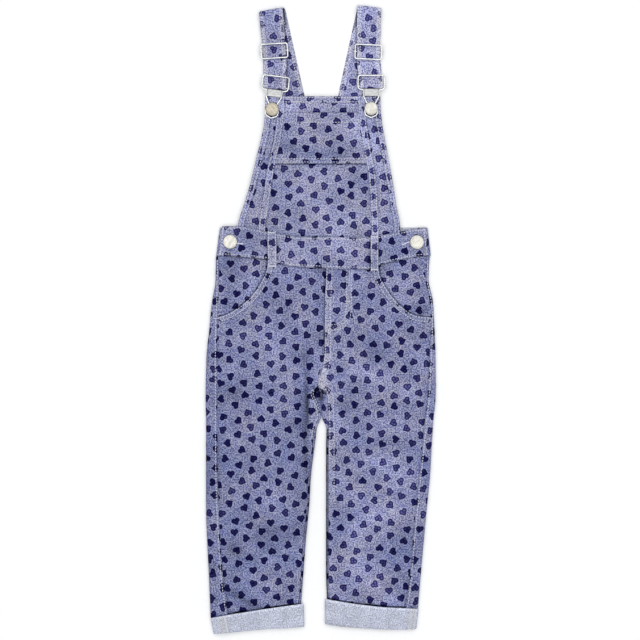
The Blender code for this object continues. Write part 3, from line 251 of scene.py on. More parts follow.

# ---------------------------------------------------------------- how it lies, how it has faded, and its painted light and shade
# Faded places, and painted shade and painted light on folds and hollows: middle x, y, half length,
# half width, degrees, brightness change.
TONE_PATCHES = (
    (-52, 10, 60, 50, 0, 0.3), (-22, -46, 16, 9, -30, -0.16), (-75, 45, 12, 14, 0, -0.06),
    (-115, 18, 12, 6, 10, -0.15), (-94, -91, 10, 8, 0, -0.08), (-70, -93, 14, 7, 20, -0.09),
    (-96, -220, 26, 80, 0, 0.06), (-68, -150, 50, 22, 60, 0.07), (-15.5, -104, 40, 2.8, 92, -0.6),
    (-22, -118, 40, 8, 95, -0.06), (-12, -120, 36, 2.4, 92, 0.16), (-64, -298, 16, 5, -30, -0.12),
    (-103, -325, 10, 4, -45, -0.28), (-91, -334, 16, 3.2, -30, -0.3),
    (-41, -318, 18, 5, -50, -0.22), (-39, -333, 8, 4, -10, -0.2), (-87, -316, 14, 5, -50, 0.12),
    (-71, -331, 10, 4, -20, 0.16),
    (-118, -284, 12, 40, 0, 0.16), (24, -66, 14, 7, 80, -0.1), (38, -58, 16, 20, 0, 0.1),
    (28, -98, 14, 6, 60, -0.16), (56, -64, 30, 9, -30, 0.12), (70, -112, 40, 8, -30, 0.1),
    (60, -235, 70, 34, 80, 0.08), (60, -10, 60, 60, 0, -0.04), (98, -280, 60, 14, 98, -0.08),
    (22, -320, 26, 8, 60, -0.12), (64, -318, 30, 5, -35, 0.1), (64, -24, 44, 16, -60, -0.12),
    (-8.5, -81, 3.0, 1.3, -45, -0.8), (0.5, -68.5, 2.4, 0.9, -50, -0.5),
    (120, 11, 10, 7, 10, -0.26), (121, 38, 10, 7, -10, -0.18), (122, 23, 12, 4, -20, 0.12),
    (-3, 31, 5, 30, 0, -0.07),
    (19, 29, 12, 30, 0, 0.08), (-62, 134, 16, 12, 0, 0.16), (26, 196, 30, 7, 0, -0.24),
    (-34, 204, 30, 8, -12, -0.22), (10, 148, 44, 32, 0, 0.12), (4, 80, 60, 14, 0, 0.05),
    (30, 126, 30, 8, -20, 0.08), (-40, 112, 44, 10, 0, 0.12), (-98, -52, 34, 20, 0, 0.2),
    (-68, -66, 14, 10, 0, 0.14), (-80, -306, 12, 8, 0, 0.2), (-92, -186, 14, 9, 0, -0.13),
    (70, -94, 30, 9, -20, 0.1), (-40, 50, 30, 10, 0, 0.08), (40, 214, 18, 8, 0, 0.14),
    (-8.8, -91, 6, 0.9, -76, -0.7), (-2.7, -101.5, 5.5, 0.9, -74, -0.7),
    (-18, -156, 30, 2.6, 93, -0.35),
)
# Lines along which seams have worn pale: from (x0, y0) to (x1, y1), half width, amount.
WORN_LINES = (
    (10.5, 60, 9.0, -40, 4.5, 0.25), (9, -40, 1, -68, 6.0, 0.5), (3, -60, 4, -84, 6.0, 0.75),
    (34.4, 60, 34, 18, 4.0, 0.4), (34, 18, 29, -2, 4.0, 0.4), (29, -2, 20, -9, 4.0, 0.4),
    (20, -9, 7, -10, 4.5, 0.5), (10, -84, 13, -215, 5.0, 0.3), (-8, -90, -16, -160, 5.0, 0.3),
    (12, -215, 13, -330, 3.0, 0.2), (-18, -160, -27, -330, 3.0, 0.2),
)

# The same, by the side of the garment as seen from above with the straps at the top.
SIDE = {"left": -1.0, "right": 1.0}
LEG = {"left": LEFT_LEG, "right": RIGHT_LEG}
INSEAM = {"left": LEFT_INSEAM, "right": RIGHT_INSEAM}
POCKET = {"left": LEFT_POCKET, "right": RIGHT_POCKET}
HEM = {"left": LEFT_HEM, "right": RIGHT_HEM}
CUFF_EDGE = {"left": LEFT_CUFF_EDGE, "right": RIGHT_CUFF_EDGE}


def length_value(name, description, default, low=0.0001, high=5.0):
    return FloatProperty(name=name, description=description, default=default, min=low, max=high,
                         unit="LENGTH", subtype="DISTANCE")


def colour_value(name, description, default):
    return FloatVectorProperty(name=name, description=description, default=default, min=0.0,
                               max=1.0, subtype="COLOR")


class ClothSettings(bpy.types.PropertyGroup):
    heart_width: length_value("Heart Width", "Width of one printed heart", 0.0095)
    heart_spacing: length_value("Heart Spacing", "Distance between hearts in a row", 0.0174)
    scatter: FloatProperty(
        name="Scatter", description="How far a heart may leave its place, as a share of spacing",
        default=0.13, min=0.0, max=0.5, subtype="FACTOR")
    rib_pitch: length_value("Rib Pitch", "Distance between the weave's diagonal ribs", 0.0008)
    blue: colour_value("Blue Yarn", "Colour of the blue warp", (0.051, 0.063, 0.194))
    pale: colour_value("Pale Yarn", "Colour of the pale weft", (0.469, 0.483, 0.640))
    wrong_side: colour_value("Wrong Side", "Colour of the cloth's inner side",
                             (0.490, 0.515, 0.618))
    heart: colour_value("Heart", "Colour of a heart's outline", (0.001, 0.001, 0.05))
    heart_middle: colour_value("Heart Middle", "Colour of a faded heart's middle",
                               (0.125, 0.120, 0.330))
    grid: length_value("Mesh Step", "Distance between a shell's grid lines", 0.0018, 0.0008)


class SewingSettings(bpy.types.PropertyGroup):
    stitch_pitch: length_value("Stitch Pitch", "Distance from one stitch to the next", 0.0034,
                               0.001)
    stitch_length: length_value("Stitch Length", "Length of thread that shows", 0.0029, 0.0005)
    thread_width: length_value("Thread Width", "Width of the topstitching thread", 0.00096)
    thread: colour_value("Thread", "Colour of the topstitching thread", (0.79, 0.81, 0.93))
    seed: IntProperty(
        name="Seed", description="Picks the small unevenness of the stitches", default=7, min=0)


class MetalSettings(bpy.types.PropertyGroup):
    wire_radius: length_value("Wire Radius", "Radius of the sliders' and buckles' wire", 0.001)
    nickel: colour_value("Nickel", "Colour of the wire and plates", (0.86, 0.87, 0.87))
    champagne: colour_value("Champagne", "Colour of the warm button", (0.49, 0.445, 0.355))
    silver: colour_value("Silver", "Colour of the pale buttons", (0.625, 0.61, 0.56))


class StageSettings(bpy.types.PropertyGroup):
    view_width: length_value("View Width", "Width of floor that the square view takes in", 0.7616)
    view_x: length_value("View X", "Middle of the view", -0.00085, -5.0)
    view_y: length_value("View Y", "Middle of the view", -0.0005, -5.0)
    camera_height: length_value("Camera Height", "Height of the camera above the floor", 2.6,
                                0.5, 20.0)
    overhead_power: FloatProperty(
        name="Overhead Power", description="Power of the wide soft light, in watts",
        default=146.0, min=0.0)
    key_power: FloatProperty(
        name="Key Power", description="Power of the raking light, in watts", default=60.0, min=0.0)
    sky: FloatProperty(
        name="Surround", description="Strength of the even light all round", default=0.42, min=0.0)


# ---------------------------------------------------------------- numbers
LATTICE = 64           # cells of the noise before it comes round again


def smooth_curve(keys, values, at):
    """Shape-keeping cubic through (keys, values), which may run up or down."""
    keys, values = np.asarray(keys, float), np.asarray(values, float)
    if keys[0] > keys[-1]:
        keys, values = keys[::-1], values[::-1]
    at = np.clip(np.asarray(at, float), keys[0], keys[-1])
    step = np.diff(keys)
    slope = np.diff(values) / step
    both = slope[:-1] * slope[1:]
    safe = np.where(both > 0, slope[:-1] + slope[1:], 1.0)
    tangent = np.r_[slope[0], np.where(both > 0, 2.0 * both / safe, 0.0), slope[-1]]
    i = np.clip(np.searchsorted(keys, at) - 1, 0, len(step) - 1)
    h = step[i]
    t = (at - keys[i]) / h
    return ((1 + 2 * t) * (1 - t) ** 2 * values[i] + t * (1 - t) ** 2 * h * tangent[i]
            + t * t * (3 - 2 * t) * values[i + 1] + t * t * (t - 1) * h * tangent[i + 1])


def table_value(table, at, k=1):
    """Value of a table's column k on a smooth curve over its first column."""
    return smooth_curve([row[0] for row in table], [row[k] for row in table], at)


def ease(low, high, x):
    t = np.clip((np.asarray(x, float) - low) / (high - low), 0.0, 1.0)
    return t * t * (3.0 - 2.0 * t)


def mix(a, b, t):
    return (1.0 - t) * a + t * b


def bell(x, width):
    """1 at x = 0, falling off softly on both sides."""
    return np.exp(-(x / width) ** 2)


def unit(vectors):
    return vectors / np.linalg.norm(vectors, axis=-1, keepdims=True)


def turn(vector, degrees):
    c, s = math.cos(math.radians(degrees)), math.sin(math.radians(degrees))
    return np.array([c * vector[0] - s * vector[1], s * vector[0] + c * vector[1]])


def right_of(vector):
    """A direction in plan, turned a quarter to the right."""
    return np.array([vector[1], -vector[0]])


def segment_distance(x, y, x0, y0, x1, y1):
    """Distance from points to a segment, and how far along it the nearest point lies."""
    dx, dy = x1 - x0, y1 - y0
    t = np.clip(((x - x0) * dx + (y - y0) * dy) / (dx * dx + dy * dy), 0.0, 1.0)
    return np.hypot(x - x0 - t * dx, y - y0 - t * dy), t


def soft_noise(x, y, size, seed):
    """Smooth unevenness between -1 and 1, with lumps of about the given size."""
    lattice = np.random.default_rng(seed).uniform(-1.0, 1.0, (LATTICE, LATTICE))
    u, v = np.asarray(x, float) / size, np.asarray(y, float) / size
    i, j = np.floor(u).astype(int), np.floor(v).astype(int)
    s, t = ease(0.0, 1.0, u - i), ease(0.0, 1.0, v - j)
    i, k = i % LATTICE, (i + 1) % LATTICE
    j, m = j % LATTICE, (j + 1) % LATTICE
    return mix(mix(lattice[i, j], lattice[k, j], s), mix(lattice[i, m], lattice[k, m], s), t)


def puckers(along, x, y, pitch, size, seed, unevenness=3.0):
    """Waves that a seam draws into cloth, from -1 to 1, at an uneven pitch along it."""
    return np.sin(along * 2.0 * math.pi / pitch + unevenness * soft_noise(x, y, size, seed))


def stations(length, step, rim=0.5):
    """Places from 0 to 1 along a length, with close lines at both ends for a soft edge."""
    count = max(2, int(round((length - 4.0 * rim) / step)))
    inside = np.linspace(2.0 * rim, length - 2.0 * rim, count + 1)
    return np.r_[0.0, rim, inside, length - rim, length] / length


def run_length(points):
    """Distance along a line of points, from its start."""
    step = np.linalg.norm(np.diff(np.asarray(points, float), axis=0), axis=1)
    return np.r_[0.0, np.cumsum(step)]


def spaced(points, count):
    """The same line as a number of evenly spaced points."""
    points = np.asarray(points, float)
    length = run_length(points)
    at = np.linspace(0.0, length[-1], count)
    return np.stack([np.interp(at, length, column) for column in points.T], axis=1)


def resampled(points, step):
    """The same line with points about a step apart."""
    return spaced(points, max(3, int(round(run_length(points)[-1] / step)) + 1))


def curve_points(points, count):
    """Evenly spaced points on a smooth line through a few points, and its unit normals."""
    points = np.asarray(points, float)
    reach = run_length(points)
    fine = np.linspace(0.0, reach[-1], 400)
    line = np.stack([smooth_curve(reach, column, fine) for column in points.T], axis=1)
    out = spaced(line, count)
    along = unit(np.gradient(out, axis=0))
    return out, np.c_[along[:, 1], -along[:, 0]]


# ---------------------------------------------------------------- the cloth's surface
ALLOWANCE = 7.5        # width of a leg seam's allowance
SEAM_TOP = 66.0        # above this the waistband covers the legs' seams
# Puckers along each kind of seam: their pitch, the size and the seed of their unevenness.
INSEAM_PUCKERS = (6.5, 30.0, 5)
SIDE_PUCKERS = (7.5, 26.0, 8)
WAIST_PUCKERS = (6.0, 25.0, 42)
STRIP_PUCKERS = (5.5, 20.0, 52)
TOP_HEM_PUCKERS = (6.0, 20.0, 53, 1.0)
STRAP_PUCKERS = (5.5, 18.0, 61)


def waist_low(x):
    return table_value(WAIST_LOW, x)


def waist_high(x):
    return table_value(WAIST_HIGH, x)


def bib_x(name, y):
    return table_value(BIB, y, BIB_COLUMNS.index(name))


def leg_x(word, name, y):
    return table_value(LEG[word], y, LEG_COLUMNS.index(name))


def seam_ridges():
    """Thick seams of the legs: y and x of the line, side of the allowance, height."""
    y = np.linspace(CROTCH - 6.0, LEG_END, 60)
    ridges = [(y, table_value(INSEAM[word], y), SIDE[word], 0.5) for word in SIDE]
    y = np.linspace(SEAM_TOP, CROTCH, 40)
    return ridges + [(y, table_value(FRONT_SEAM, y), 1.0, 0.45)]


SEAM_RIDGES = seam_ridges()


def seam_relief(x, y):
    """Height that seam allowances and their puckers add to the front cloth."""
    z = np.zeros_like(x)
    for line_y, line_x, side, height in SEAM_RIDGES:
        across = (x - np.interp(y, line_y[::-1], line_x[::-1])) * side
        inside = (y >= line_y[-1]) & (y <= line_y[0])
        flat = ease(-1.2, 0.4, across) * (1.0 - ease(ALLOWANCE, ALLOWANCE + 2.0, across))
        near = bell(across - ALLOWANCE, 5.0) + bell(across, 4.0)
        wave = 0.09 * near * puckers(y, x, y, *INSEAM_PUCKERS)
        z = z + np.where(inside, height * flat + wave, 0.0)
    for word in SIDE:
        across = (x - leg_x(word, "side_seam", y)) * SIDE[word]
        wave = 0.16 * bell(across, 7.0) * puckers(y, x, y, *SIDE_PUCKERS)
        z = z + wave * (y < SEAM_TOP)
    return z


def crease_z(x, y):
    """Height of the folds alone."""
    z = np.zeros_like(x)
    for x0, y0, x1, y1, half_width, height in MAIN_CREASES + SMALL_CREASES:
        distance, along = segment_distance(x, y, x0, y0, x1, y1)
        bump = np.clip(1.0 - (distance / half_width) ** 2, 0.0, 1.0) ** 2
        z = z + height * bump * (0.65 + 0.35 * np.sin(math.pi * along))
    return z


def cloth_z(x, y):
    """Upper side of the front panels as they lie."""
    x, y = np.broadcast_arrays(np.asarray(x, float), np.asarray(y, float))
    z = table_value(FRONT_HEIGHT, y) + crease_z(x, y)
    z = z + 0.24 * soft_noise(x, y, 34.0, 1) + 0.12 * soft_noise(x, y, 13.0, 2)
    return z + seam_relief(x, y)


def tone_at(x, y):
    """Brightness of the cloth with its painted light and shade, 1 where it is neither faded nor in a
    hollow.
    """
    tone = np.ones_like(x)
    for x0, y0, half_length, half_width, degrees, change in TONE_PATCHES:
        u, v = turn((x - x0, y - y0), -degrees)
        u, v = u / half_length, v / half_width
        tone = tone + 1.15 * change * np.exp(-(u * u + v * v))
    # Painted shade in the troughs of the folds and painted light on their ridges.
    tone = tone + 0.14 * crease_z(x, y)
    return tone + 0.18 * soft_noise(x, y, 52.0, 3) + 0.2 * soft_noise(x, y, 21.0, 4)


def wear_at(x, y):
    """How far the leg fronts have worn along their seams."""
    wear = np.zeros_like(x)
    for x0, y0, x1, y1, half_width, amount in WORN_LINES:
        distance, _ = segment_distance(x, y, x0, y0, x1, y1)
        wear = np.maximum(wear, amount * (1.0 - ease(0.55, 1.0, distance / half_width)))
    return wear


def under_edge(away, x, y, dark=0.6):
    """Thin uneven shade beside a covering edge that lies a distance away, and its soft halo."""
    uneven = 1.0 + 0.5 * soft_noise(x, y, 9.0, 6)
    return dark * uneven * bell(away, 1.0) + 0.14 * bell(away, 3.5)


# ---------------------------------------------------------------- meshes
COARSE = 2.4           # grid steps of pieces that hardly show, and of narrow ones
NARROW = 1.8
ROUNDED = 0.9          # how far in from a cut edge its soft roll reaches
ROLL = 0.45            # how far the roll drops, as a share of the cloth's thickness
LEAST_TONE = 0.04


def shift(points):
    """Pattern millimetres to frame metres."""
    points = np.asarray(points, float).reshape(-1, 3)
    return (points - np.array([CENTRE_X, CENTRE_Y, 0.0])) * MM


def new_object(name, mesh, *materials):
    piece = bpy.data.objects.new(name, mesh)
    for material in materials:
        mesh.materials.append(MATERIALS[material])
    bpy.context.scene.collection.objects.link(piece)
    return piece


def hand_over(piece, slot, *nodes):
    """Let a piece ride on the garment in place of its nodes; its slot is not used."""
    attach(piece, "root")
    if nodes:
        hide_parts(*nodes)


def summed(steps, axis):
    """Running sum along an axis, from zero."""
    return np.insert(np.cumsum(steps, axis=axis), 0, 0.0, axis=axis)


def grid_normals(top, up):
    """Unit normals of a grid's right side: up for a flat piece, else out of the roll."""
    normal = np.cross(np.gradient(top, axis=1), np.gradient(top, axis=0))
    normal = normal / np.maximum(np.linalg.norm(normal, axis=2), 1e-9)[:, :, None]
    if up:
        return normal * np.sign(normal[:, :, 2].mean())
    outward = top - top.reshape(-1, 3).mean(axis=0)
    return normal * np.sign((outward * normal).sum(axis=2).mean())


def edge_distance(top):
    """Distance of every grid point from the piece's nearest cut edge."""
    near = []
    for axis in (0, 1):
        run = summed(np.linalg.norm(np.diff(top, axis=axis), axis=2), axis)
        near += [run, np.take(run, [-1], axis=axis) - run]
    return np.minimum.reduce(near)


def unrolled(top):
    """Flat layout of a strip by the lengths across and along it."""
    u = summed(np.linalg.norm(np.diff(top, axis=1), axis=2), 1)
    v = summed(np.linalg.norm(np.diff(top, axis=0), axis=2).mean(axis=1), 0)
    return np.dstack(np.broadcast_arrays(u, v[:, None]))


def cloth_mesh(name, top, low, uv, tone, wear, *materials, ring=False):
    """Closed shell between two grids. Its right side takes the first material."""
    rows, cols = top.shape[:2]
    size = rows * cols
    wide = cols + 1 if ring else cols
    across, down = np.arange(wide), np.arange(rows)
    r, c = (a.ravel() for a in np.meshgrid(down[:-1], across[:-1], indexing="ij"))
    corners = ((r, c), (r, c + 1), (r + 1, c + 1), (r + 1, c))
    index = np.stack([i * cols + j % cols for i, j in corners], axis=1)
    layout = np.stack([i * wide + j for i, j in corners], axis=1)
    faces = [index, index[:, ::-1] + size]
    corner_uv = [layout, layout[:, ::-1]]
    rims = [(0, across), (rows - 1, across[::-1])]
    if not ring:
        rims += [(down[::-1], 0), (down, cols - 1)]
    for i, j in rims:
        rim, flat = i * cols + j % cols, i * wide + j
        a, b = rim[:-1], rim[1:]
        faces.append(np.stack([a, a + size, b + size, b], axis=1))
        corner_uv.append(np.stack([flat[:-1]] * 2 + [flat[1:]] * 2, axis=1))
    faces, corner_uv = np.concatenate(faces), np.concatenate(corner_uv)
    points = np.concatenate([shift(top), shift(low)])
    a, b, c, d = (points[faces[:, k]] for k in range(4))
    if (a * (np.cross(b, c) + np.cross(c, d))).sum() < 0.0:
        faces, corner_uv = faces[:, ::-1], corner_uv[:, ::-1]
    mesh = bpy.data.meshes.new(name)
    mesh.from_pydata(points.tolist(), [], faces.tolist())
    mesh.uv_layers.new(name="cloth").data.foreach_set(
        "uv", (uv.reshape(-1, 2) * MM)[corner_uv.ravel()].astype(np.float32).ravel())
    slot = np.zeros(len(faces), np.int32)
    slot[len(index):2 * len(index)] = len(materials) - 1
    mesh.polygons.foreach_set("material_index", slot)
    for key, value in (("tone", tone), ("wear", wear)):
        layer = mesh.attributes.new(key, "FLOAT", "POINT")
        layer.data.foreach_set("value", np.tile(value.ravel(), 2).astype(np.float32))
    return finished(name, mesh, 70.0, *materials)


def finished(name, mesh, degrees, *materials):
    mesh.update()
    mesh.shade_smooth()
    mesh.set_sharp_from_angle(angle=math.radians(degrees))
    return new_object(name, mesh, *materials)


def cloth_piece(name, top, uv=None, offset=(0.0, 0.0), thickness=CLOTH, tone=1.0, wear=0.0,
                up=True, inner="wrong_side", edge_wear=0.35, edge_tone=-0.12, rests_on=()):
    """The cut piece for a node: its shell, print layout and fading; rests_on is not used."""
    normal = grid_normals(top, up)
    near = edge_distance(top)
    drop = ROLL * thickness * np.clip(1.0 - near / ROUNDED, 0.0, 1.0) ** 2
    flat = (unrolled(top) if uv is None else uv) + np.array(offset)
    fade = wear + edge_wear * np.exp(-near / 1.1)
    # edge_tone paints shade along the cut edges, where they roll down.
    shade = tone * tone_at(top[:, :, 0], top[:, :, 1]) + edge_tone * np.exp(-near / 0.7)
    piece = cloth_mesh(name + "_cloth", top - normal * drop[:, :, None], top - normal * thickness,
                       flat, shade, fade, "printed_chambray", inner)
    hand_over(piece, "printed_chambray", name)


def flat_piece(name, x, y, z, **look):
    """A cut piece whose print lies straight on the pattern."""
    cloth_piece(name, np.dstack([x, y, z]), np.dstack([x, y]), **look)


def tube_mesh(centres, radius, sides, closed=False):
    """Points and faces of a round wire along a line in millimetres."""
    count = len(centres)
    if closed:
        ahead = np.roll(centres, -1, axis=0) - np.roll(centres, 1, axis=0)
    else:
        ahead = np.gradient(centres, axis=0)
    ahead = unit(ahead)
    side = unit(np.cross((0.0, 0.0, 1.0), ahead))
    lift = np.cross(ahead, side)
    angle = (2.0 * math.pi * np.arange(sides) / sides)[None, :, None]
    radius = np.broadcast_to(radius, (count,))[:, None, None]
    points = (centres[:, None] + radius * (np.cos(angle) * side[:, None]
                                           + np.sin(angle) * lift[:, None]))
    faces = []
    for i in range(count if closed else count - 1):
        j = (i + 1) % count
        for k in range(sides):
            m = (k + 1) % sides
            faces.append((i * sides + k, i * sides + m, j * sides + m, j * sides + k))
    if not closed:
        faces.append(tuple(reversed(range(sides))))
        faces.append(tuple((count - 1) * sides + k for k in range(sides)))
    return points.reshape(-1, 3), faces


def solid_piece(name, parts, material, slot, *nodes, degrees=40.0):
    """One piece from several (points, faces) parts in millimetres."""
    points, faces = [], []
    for part_points, part_faces in parts:
        start = len(points)
        points.extend(shift(part_points).tolist())
        faces.extend(tuple(start + k for k in face) for face in part_faces)
    mesh = bpy.data.meshes.new(name)
    mesh.from_pydata(points, [], faces)
    hand_over(finished(name, mesh, degrees, material), slot, *nodes)


# ---------------------------------------------------------------- materials
MATERIALS = {}
HEART_ROWS = 0.895     # distance between rows of hearts, as a share of the spacing in a row
HEART_WIDTH = 1.70     # of a heart made of a unit square on its corner and two discs
HEART_TALL = 1.1
LOBE = (0.37, 0.29, 0.49)   # middle and radius of the right disc
PRINT_LEAN = 0.42      # of the rows of hearts, in radians
RIB_SLANT = (0.83, 0.56, 0.0)
YARNS = ((950.0, 190.0, 1.0), (170.0, 900.0, 1.0))   # scales of warp and weft across the cloth


class Nodes:
    """Short calls for one node tree."""

    def __init__(self, tree):
        self.tree = tree
        self.tree.nodes.clear()

    def give(self, socket, value):
        """Link a socket to another one, or set its plain value."""
        if isinstance(value, bpy.types.NodeSocket):
            self.tree.links.new(value, socket)
        else:
            socket.default_value = (*value[:3], 1.0) if socket.type == "RGBA" else value

    def add(self, kind, inputs=None, **settings):
        node = self.tree.nodes.new(kind)
        for key, value in settings.items():
            setattr(node, key, value)
        for key, value in (inputs or {}).items():
            self.give(node.inputs[key], value)
        return node

    def math(self, operation, a, b=0.0, clamp=False):
        return self.add("ShaderNodeMath", {0: a, 1: b}, operation=operation,
                        use_clamp=clamp).outputs[0]

    def times(self, a, b, clamp=False):
        return self.math("MULTIPLY", a, b, clamp)

    def plus(self, a, b, clamp=False):
        return self.math("ADD", a, b, clamp)

    def minus(self, a, b):
        return self.math("SUBTRACT", a, b)

    def weighed(self, *parts):
        """Sum of several values, each times its weight."""
        total = None
        for value, weight in parts:
            term = self.times(value, weight)
            total = term if total is None else self.plus(total, term)
        return total

    def vector(self, operation, a, b=(0.0, 0.0, 0.0)):
        node = self.add("ShaderNodeVectorMath", {0: a, 1: b}, operation=operation)
        return node.outputs["Value" if operation == "DOT_PRODUCT" else "Vector"]

    def scaled(self, vector, by):
        return self.add("ShaderNodeVectorMath", {0: vector, "Scale": by},
                        operation="SCALE").outputs["Vector"]

    def rotated(self, vector, angle):
        return self.add("ShaderNodeVectorRotate", {
            "Vector": vector, "Axis": (0.0, 0.0, 1.0), "Angle": angle,
        }, rotation_type="AXIS_ANGLE").outputs[0]

    def parted(self, vector):
        return self.add("ShaderNodeSeparateXYZ", {"Vector": vector}).outputs

    def joined(self, x, y, z=0.0):
        return self.add("ShaderNodeCombineXYZ", {"X": x, "Y": y, "Z": z}).outputs[0]

    def noise(self, vector, scale, detail=2.0, roughness=0.5, output="Fac"):
        return self.add("ShaderNodeTexNoise", {
            "Vector": vector, "Scale": scale, "Detail": detail, "Roughness": roughness,
        }).outputs[output]

    def spread(self, value, low, high, to_low=0.0, to_high=1.0, kind="SMOOTHSTEP"):
        return self.add("ShaderNodeMapRange", {
            "Value": value, "From Min": low, "From Max": high, "To Min": to_low, "To Max": to_high,
        }, interpolation_type=kind).outputs["Result"]

    def ramp(self, value, low, high, to_low=0.0, to_high=1.0):
        return self.spread(value, low, high, to_low, to_high, "LINEAR")

    def blend(self, fac, a, b, kind="MIX"):
        node = self.add("ShaderNodeMix", data_type="RGBA", blend_type=kind)
        sockets = {s.identifier: s for s in node.inputs}
        for key, value in (("Factor_Float", fac), ("A_Color", a), ("B_Color", b)):
            self.give(sockets[key], value)
        return {s.identifier: s for s in node.outputs}["Result_Color"]

    def attribute(self, name):
        return self.add("ShaderNodeAttribute", attribute_name=name).outputs["Fac"]

    def layout(self):
        """The place on the piece's flat layout."""
        return self.add("ShaderNodeUVMap", uv_map="cloth").outputs["UV"]

    def place(self):
        """The place on the object."""
        return self.add("ShaderNodeTexCoord").outputs["Object"]


def new_material(name):
    MATERIALS[name] = bpy.data.materials.new(name)
    MATERIALS[name].use_nodes = True
    return Nodes(MATERIALS[name].node_tree)


def finish_material(nodes, colour, roughness, bump=None, **shine):
    """The shader: bump is (height, strength, distance), shine the shader's other values."""
    inputs = {"Base Color": colour, "Roughness": roughness}
    if bump:
        bump = dict(zip(("Height", "Strength", "Distance"), bump))
        inputs["Normal"] = nodes.add("ShaderNodeBump", bump).outputs[0]
    for key, value in shine.items():
        inputs[SHINE[key]] = value
    shader = nodes.add("ShaderNodeBsdfPrincipled", inputs)
    nodes.add("ShaderNodeOutputMaterial", {"Surface": shader.outputs["BSDF"]})


SHINE = {"metallic": "Metallic", "specular": "Specular IOR Level", "sheen": "Sheen Weight",
         "sheen_roughness": "Sheen Roughness"}


def heart_print(nodes, position, cloth):
    """Scattered hearts: cover of the print, its thin middle, pale rim, a number for each."""
    spacing = cloth.heart_spacing
    place = nodes.parted(nodes.rotated(position, PRINT_LEAN))
    v = nodes.math("DIVIDE", place["Y"], HEART_ROWS * spacing)
    row = nodes.math("FLOOR", v)
    loose = nodes.add("ShaderNodeTexWhiteNoise", {"W": row}, noise_dimensions="1D")
    u = nodes.plus(nodes.math("DIVIDE", place["X"], spacing),
                   nodes.weighed((row, 0.5), (loose.outputs["Value"], 0.4)))
    in_row = nodes.math("FLOOR", u)
    chance = nodes.add("ShaderNodeTexWhiteNoise", {"Vector": nodes.joined(in_row, row, 4.7)})
    chances = nodes.add("ShaderNodeSeparateColor", {"Color": chance.outputs["Color"]}).outputs
    local = []
    for at, start, random, size, reach in (
            (u, in_row, "Red", spacing, 1.25 * cloth.scatter),
            (v, row, "Green", HEART_ROWS * spacing, cloth.scatter)):
        away = nodes.minus(nodes.minus(at, start), 0.5)
        away = nodes.minus(away, nodes.ramp(chances[random], 0.0, 1.0, -reach, reach))
        local.append(nodes.times(away, size))
    here = nodes.rotated(nodes.joined(*local), nodes.times(chance.outputs["Value"], 2.0 * math.pi))
    rough = nodes.noise(position, 900.0, 1.0, output="Color")
    uneven = nodes.scaled(nodes.vector("SUBTRACT", rough, (0.5, 0.5, 0.5)), 0.0007)
    here = nodes.parted(nodes.vector("ADD", here, uneven))
    unit_size = cloth.heart_width / HEART_WIDTH
    x = nodes.math("DIVIDE", nodes.math("ABSOLUTE", here["X"]), unit_size)
    y = nodes.math("DIVIDE", here["Y"], HEART_TALL * unit_size)
    square = nodes.plus(x, nodes.math("ABSOLUTE", y))
    square = nodes.minus(nodes.times(square, 0.7071), 0.5)
    square = nodes.math("MAXIMUM", square, nodes.minus(y, 0.3))
    ball_x, ball_y = nodes.minus(x, LOBE[0]), nodes.minus(y, LOBE[1])
    ball = nodes.math("SQRT", nodes.plus(nodes.times(ball_x, ball_x), nodes.times(ball_y, ball_y)))
    away = nodes.math("MINIMUM", square, nodes.minus(ball, LOBE[2]))
    cover, inside, rim = (nodes.spread(away, low, high, 1.0, 0.0)
                          for low, high in ((-0.04, 0.05), (-0.42, -0.18), (0.06, 0.34)))
    return cover, inside, rim, chances["Blue"]


def weave(nodes, position, pitch):
    """Diagonal ribs, uneven yarns and speckle of a twill, each between 0 and 1."""
    slant = nodes.vector("DOT_PRODUCT", position, RIB_SLANT)
    rib = nodes.ramp(nodes.math("SINE", nodes.times(slant, 2.0 * math.pi / pitch)), -1.0, 1.0)
    yarns = nodes.weighed(*((nodes.noise(nodes.vector("MULTIPLY", position, scales), 1.0, 3.0), 0.5)
                            for scales in YARNS))
    speckle = nodes.ramp(nodes.noise(position, 640.0), 0.4, 0.6)
    return rib, nodes.ramp(yarns, 0.34, 0.66), speckle


